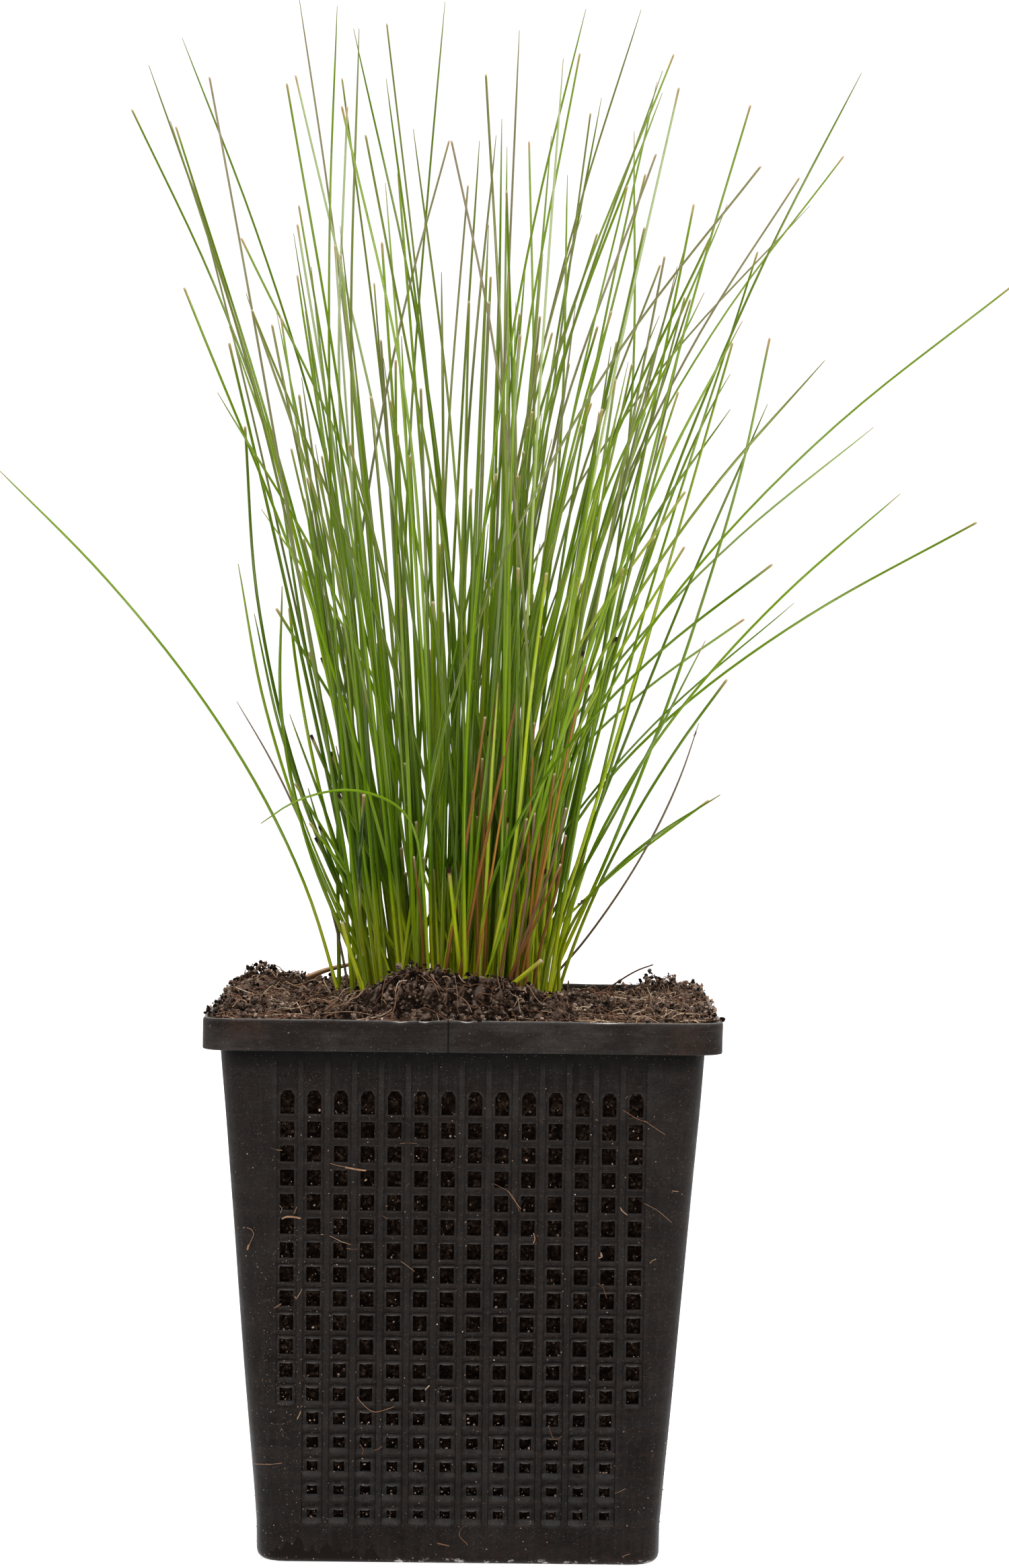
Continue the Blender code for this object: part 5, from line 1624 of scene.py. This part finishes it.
def fill_clump(routes, filling, chance):
    """The stems past the CAD model's: between the tufts' own, across them, and in sheaves."""
    centre = Vector(CLUMP_CENTRE)

    def add(line, cuts, least, foot_x):
        """One stem along the line, unless its tip is in an open place."""
        blunt = float(chance.choice(cuts))
        size = chance.uniform(least, 0.00046)
        tones = stem_tones(foot_x, chance)
        blunt = cut_tone(blunt, line)
        if not in_open_place(line[-1], chance):
            filling.append((line, radii_up(line, size, blunt), *tones, blunt))

    # Between two of the tufts' stems at a time
    for number in range(BETWEEN_STEMS):
        first = chance.choice(routes)
        near = sorted(routes, key=lambda route: (route[0] - first[0]).length)[1:9]
        second = chance.choice(near)
        share = chance.uniform(0.2, 0.8)
        turned = chance.uniform(-0.45, 0.45)
        mixed = np.clip(np.linspace(share - turned, share + turned, 24), 0, 1)[:, None]
        line = stem_line(first, 24) * (1 - mixed) + stem_line(second, 24) * mixed
        keep = chance.uniform(0.16, 0.6) if number % 5 > 1 else chance.uniform(0.68, 0.97)
        line = line[: max(8, int(24 * keep))]
        add(line, (0, 0, 1, 1, 2), 0.00034, line[0][0])
    # Across their neighbours' way from any spot in the clump
    for number in range(CROSSING_STEMS):
        tall = number >= FIRST_TALL
        turn, out = chance.uniform(0, 2 * math.pi), math.sqrt(chance.random())
        spot = Vector((math.cos(turn), math.sin(turn))) * out
        foot_x, foot_y = [middle + way * reach for middle, way, reach in zip(centre, spot, FILLING_FOOT)]
        foot = Vector((foot_x, foot_y, CROWN_BASE))
        height = 0.11 + 0.06 * chance.random() if tall else 0.022 + 0.085 * chance.random()
        across, deep = clump_reach(foot.z + height)
        stray = 0.40 if tall else 0.34
        aim = spot * (0.6 if tall else 0.82) + Vector((chance.gauss(0, stray), chance.gauss(0, stray)))
        if aim.length > FARTHEST_AIM:
            aim *= FARTHEST_AIM / aim.length
        tip = Vector((centre.x + aim.x * across, centre.y + aim.y * deep, foot.z + height))
        middle = foot.lerp(tip, 0.5)
        middle.x -= (tip.x - foot.x) * chance.uniform(-0.04, 0.12)
        add(stem_line([foot, middle, tip], 16), (0, 1, 2, 2), 0.00032, foot.x)
    # In sheaves that stand close together
    for count, foot_from, foot_to, tip_from, tip_to, low, high in SHEAVES:
        for _ in range(count):
            share = chance.random()
            foot_x = (foot_from + (foot_to - foot_from) * (0.25 * share + 0.75 * chance.random())) / 1000
            room = math.sqrt(1 - min(0.99, abs(foot_x - CLUMP_CENTRE[0]) / FILLING_FOOT[0]) ** 2)
            deep_share = chance.uniform(-0.95, 0.95) * room
            foot = Vector((foot_x, CLUMP_CENTRE[1] + deep_share * FILLING_FOOT[1], CROWN_BASE))
            z = chance.uniform(low, high) / 1000
            deep = clump_reach(z)[1] * deep_share * chance.uniform(0.4, 0.9)
            tip = along_sight((tip_from + (tip_to - tip_from) * share) / 1000, z, CLUMP_CENTRE[1] + deep)
            middle = foot.lerp(tip, 0.5)
            middle.x += (tip.x - foot.x) * chance.uniform(-0.22, 0.02)
            line = stem_line([foot, middle, tip], 18)
            blunt = float(chance.random() < 0.6)
            size = chance.uniform(0.00034, 0.00044)
            filling.append((line, radii_up(line, size, blunt), *stem_tones(foot.x, chance), blunt))


def place_singles(pieces, chance):
    """Dry stems among the green at the front right, and the stems that the photograph shows singly."""
    dry, filling = pieces["stems_dry_fill"], pieces["stems_fill"]
    for _ in range(DRY_AMONG_GREEN):
        foot = Vector((chance.uniform(0.001, 0.0125), chance.uniform(-0.0155, -0.008), CROWN_BASE))
        height = chance.uniform(0.018, 0.062)
        out = (foot.x - 0.002) * chance.uniform(0.2, 0.8) * height / 0.03
        tip = foot + Vector((out, -0.05 * height, height))
        middle = foot.lerp(tip, 0.5) + Vector((chance.uniform(-0.0006, 0.0006), 0, 0))
        line = stem_line([foot, middle, tip], 14)
        size = chance.uniform(0.00026, 0.00038)
        dry.append((line, radii_up(line, size, 1.0), chance.random(), chance.uniform(0.2, 1.0), 1.0))
    for points, size, pale in DRY_LINES:
        line = smooth_line([mm(*point) for point in points], 16)
        dry.append((line, np.linspace(size, size * 0.7, 16) * 0.72, chance.random(), pale, 1.0))
    for points, size in SHORT_LINES:
        line = smooth_line([mm(*point) for point in points], 12)
        filling.append((line, np.linspace(size, size * 0.75, 12), 0.6, 0.95, 1.0))
    line = smooth_line([seen_at(*point) for point in GLOSSY_LINE], 16)
    filling.append((line, np.linspace(0.00040, 0.00030, 16), 0.4, 0.0, 1.0))


STEM_PIECES = ("stems_free", "stems_tufts", "stems_fill", "stems_dry_free", "stems_dry_fill")


def make_stems(green, dry, scale):
    """All the stems as five pieces, with the spikelets as a sixth, and the free stems' names."""
    free = free_routes()
    tufts = tuft_routes()
    spaced = keep_apart([*free.values(), *tufts.values()])
    free = dict(zip(free, spaced))
    tufts = spaced[len(free) :]
    free["arched"] = [mm(*point) for point in ARCHED_ROUTE]
    chance = random.Random(23)
    pieces = {name: [] for name in STEM_PIECES}
    dress_routes(free, tufts, pieces, chance)
    fill_clump(tufts, pieces["stems_fill"], chance)
    place_singles(pieces, chance)
    made = {}
    for name, tubes in pieces.items():
        made[name] = make_tubes(name, tubes, STEM_SIDES, dry if "dry" in name else green)
    with_spikelets = [*pieces["stems_free"], *pieces["stems_tufts"], *pieces["stems_dry_free"]]
    made["spikelets"] = make_spikelets(with_spikelets, scale)
    return made, list(free)


# Build

plastic = plastic_material()
earth = soil_material()
fibre = fibre_material()
green = stem_material(
    "green_stem",
    low=[
        (0.0, 0.012, 0.030, 0.010), (0.04, 0.040, 0.092, 0.0006), (0.35, 0.100, 0.195, 0.0008),
        (0.70, 0.215, 0.355, 0.0040), (0.86, 0.375, 0.500, 0.0120), (1.0, 0.520, 0.620, 0.035),
    ],
    high=[
        (0.0, 0.320, 0.260, 0.175), (0.06, 0.245, 0.220, 0.110), (0.20, 0.170, 0.190, 0.040),
        (0.42, 0.105, 0.190, 0.003), (0.7, 0.170, 0.285, 0.008), (0.9, 0.260, 0.385, 0.060),
        (1.0, 0.450, 0.520, 0.280),
    ],
    foot=(0.840, 0.860, 0.022),
    edge=(0.036, 0.060, 0.0010),
    rib_and_highlight=(0.680, 0.750, 0.330),
    tip=(0.40, 0.250, 0.115),
    rim_light_colour=(0.360, 0.335, 0.230),
)
dry = stem_material(
    "dry_stem",
    low=[
        (0.0, 0.175, 0.140, 0.100), (0.2, 0.200, 0.080, 0.020), (0.6, 0.340, 0.135, 0.026),
        (1.0, 0.520, 0.250, 0.035),
    ],
    high=[(0.0, 0.230, 0.180, 0.120), (0.2, 0.270, 0.150, 0.070), (1.0, 0.370, 0.225, 0.110)],
    foot=(0.240, 0.105, 0.026),
    edge=(0.075, 0.036, 0.012),
    rib_and_highlight=(0.480, 0.270, 0.100),
    tip=(0.30, 0.20, 0.12),
    rim_light_colour=(0.300, 0.230, 0.160),
)

place(make_basket(plastic), "black_plastic", "basket")
place(make_soil(earth), "dark_soil", "soil")
place(make_crumbs("soil_crumbs", soil_crumb_places(), earth, smooth=True), "dark_soil")
place(make_tubes("soil_fibres", soil_fibre_tubes(), FIBRE_SIDES, fibre), "dark_soil")
place(make_crumbs("basket_dirt", wall_dirt(), earth, seed=8), "dark_soil")
threads = []
for size, tint, *spots in WALL_THREADS:
    points = [front_point(px, py, size * 0.6 / 1000) for px, py in zip(spots[::2], spots[1::2])]
    threads.append((smooth_line(points, 12), np.full(12, size / 1000), tint, 0.0, 0.0))
place(make_tubes("basket_threads", threads, FIBRE_SIDES, fibre), "dark_soil")

stems, free_names = make_stems(green, dry, earth)
place(stems["stems_free"], "stem_green", *[f"stem_{name}" for name in free_names if name not in DRY_STEMS])
place(stems["stems_tufts"], "stem_green", *[f"tuft_{number:02d}" for number in range(1, 20)])
place(stems["stems_fill"], "stem_green")
place(stems["stems_dry_free"], "stem_dry", *[f"stem_{name}" for name in DRY_STEMS])
place(stems["stems_dry_fill"], "stem_dry")
place(stems["spikelets"], "stem_dry")

# Stage, lights and camera

FLOOR_REACH = 3.0

# The ground gives off light of its own, as a lit white table does, so shadows on it stay faint
floor_shader = Shader("pale_floor")
floor_noise = floor_shader.noise(floor_shader.position(), 0.02, 2)
floor_shader.colour = floor_shader.ramp(floor_noise, (0.3, 0.29), (0.7, 0.31))
floor_finish = floor_shader.finish(
    Roughness=0.9, Emission_Color=(1.0, 1.0, 1.0, 1.0), Emission_Strength=0.96
)
floor_corners = [(x * FLOOR_REACH, y * FLOOR_REACH, 0) for x, y in ((-1, -1), (1, -1), (1, 1), (-1, 1))]
floor = make_object("floor", floor_corners, [(0, 1, 2, 3)], floor_finish, smooth=False)
floor.location.z = -0.0002


def make_world():
    """A white studio: dimmer from the front than from behind, and even white where the camera sees it."""
    world = bpy.data.worlds.new("studio")
    bpy.context.scene.world = world
    world.use_nodes = True
    sky = world.node_tree
    link = sky.links.new
    axes = sky.nodes.new("ShaderNodeSeparateXYZ")
    link(sky.nodes.new("ShaderNodeTexCoord").outputs["Generated"], axes.inputs[0])
    behind = sky.nodes.new("ShaderNodeMapRange")
    for key, value in (("From Min", -0.35), ("From Max", 0.6), ("To Min", 0.16), ("To Max", 1.0)):
        behind.inputs[key].default_value = value
    link(axes.outputs["Y"], behind.inputs["Value"])
    background, seen = sky.nodes["Background"], sky.nodes.new("ShaderNodeBackground")
    for made in (background, seen):
        made.inputs["Color"].default_value = (1, 1, 1, 1)
    seen.inputs["Strength"].default_value = 1.1
    link(behind.outputs["Result"], background.inputs["Strength"])
    choice = sky.nodes.new("ShaderNodeMixShader")
    link(sky.nodes.new("ShaderNodeLightPath").outputs["Is Camera Ray"], choice.inputs[0])
    link(background.outputs[0], choice.inputs[1])
    link(seen.outputs[0], choice.inputs[2])
    link(choice.outputs[0], sky.nodes["World Output"].inputs["Surface"])


def add_object(name, data):
    """A light or a camera in the scene."""
    obj = bpy.data.objects.new(name, data)
    bpy.context.scene.collection.objects.link(obj)
    return obj


def add_light(name, location, size, power):
    """A rectangular light that faces the clump's foot."""
    data = bpy.data.lights.new(name, "AREA")
    data.shape = "RECTANGLE"
    data.size, data.size_y = size
    data.energy = power
    obj = add_object(name, data)
    obj.location = location
    obj.rotation_euler = (Vector((0, 0, 0.12)) - Vector(location)).to_track_quat("-Z", "Y").to_euler()


make_world()
sun_data = bpy.data.lights.new("overhead", "SUN")
sun_data.energy = 3.6
sun_data.angle = math.radians(28)
add_object("overhead", sun_data).rotation_euler = (math.radians(-16), math.radians(1), 0)
add_light("key", (-0.10, -0.85, 1.15), (0.8, 0.5), 8)
add_light("fill", (0.9, -0.5, 0.9), (0.6, 0.6), 4)

camera_data = bpy.data.cameras.new("camera")
camera_data.sensor_fit = "AUTO"
camera_data.sensor_width = SENSOR
camera_data.lens = LENS
camera_data.clip_start = 0.01
camera_data.clip_end = 50
camera = add_object("camera", camera_data)
camera.matrix_world = Matrix.Translation(EYE) @ LOOK
bpy.context.scene.camera = camera
bpy.context.scene.view_settings.view_transform = "Standard"
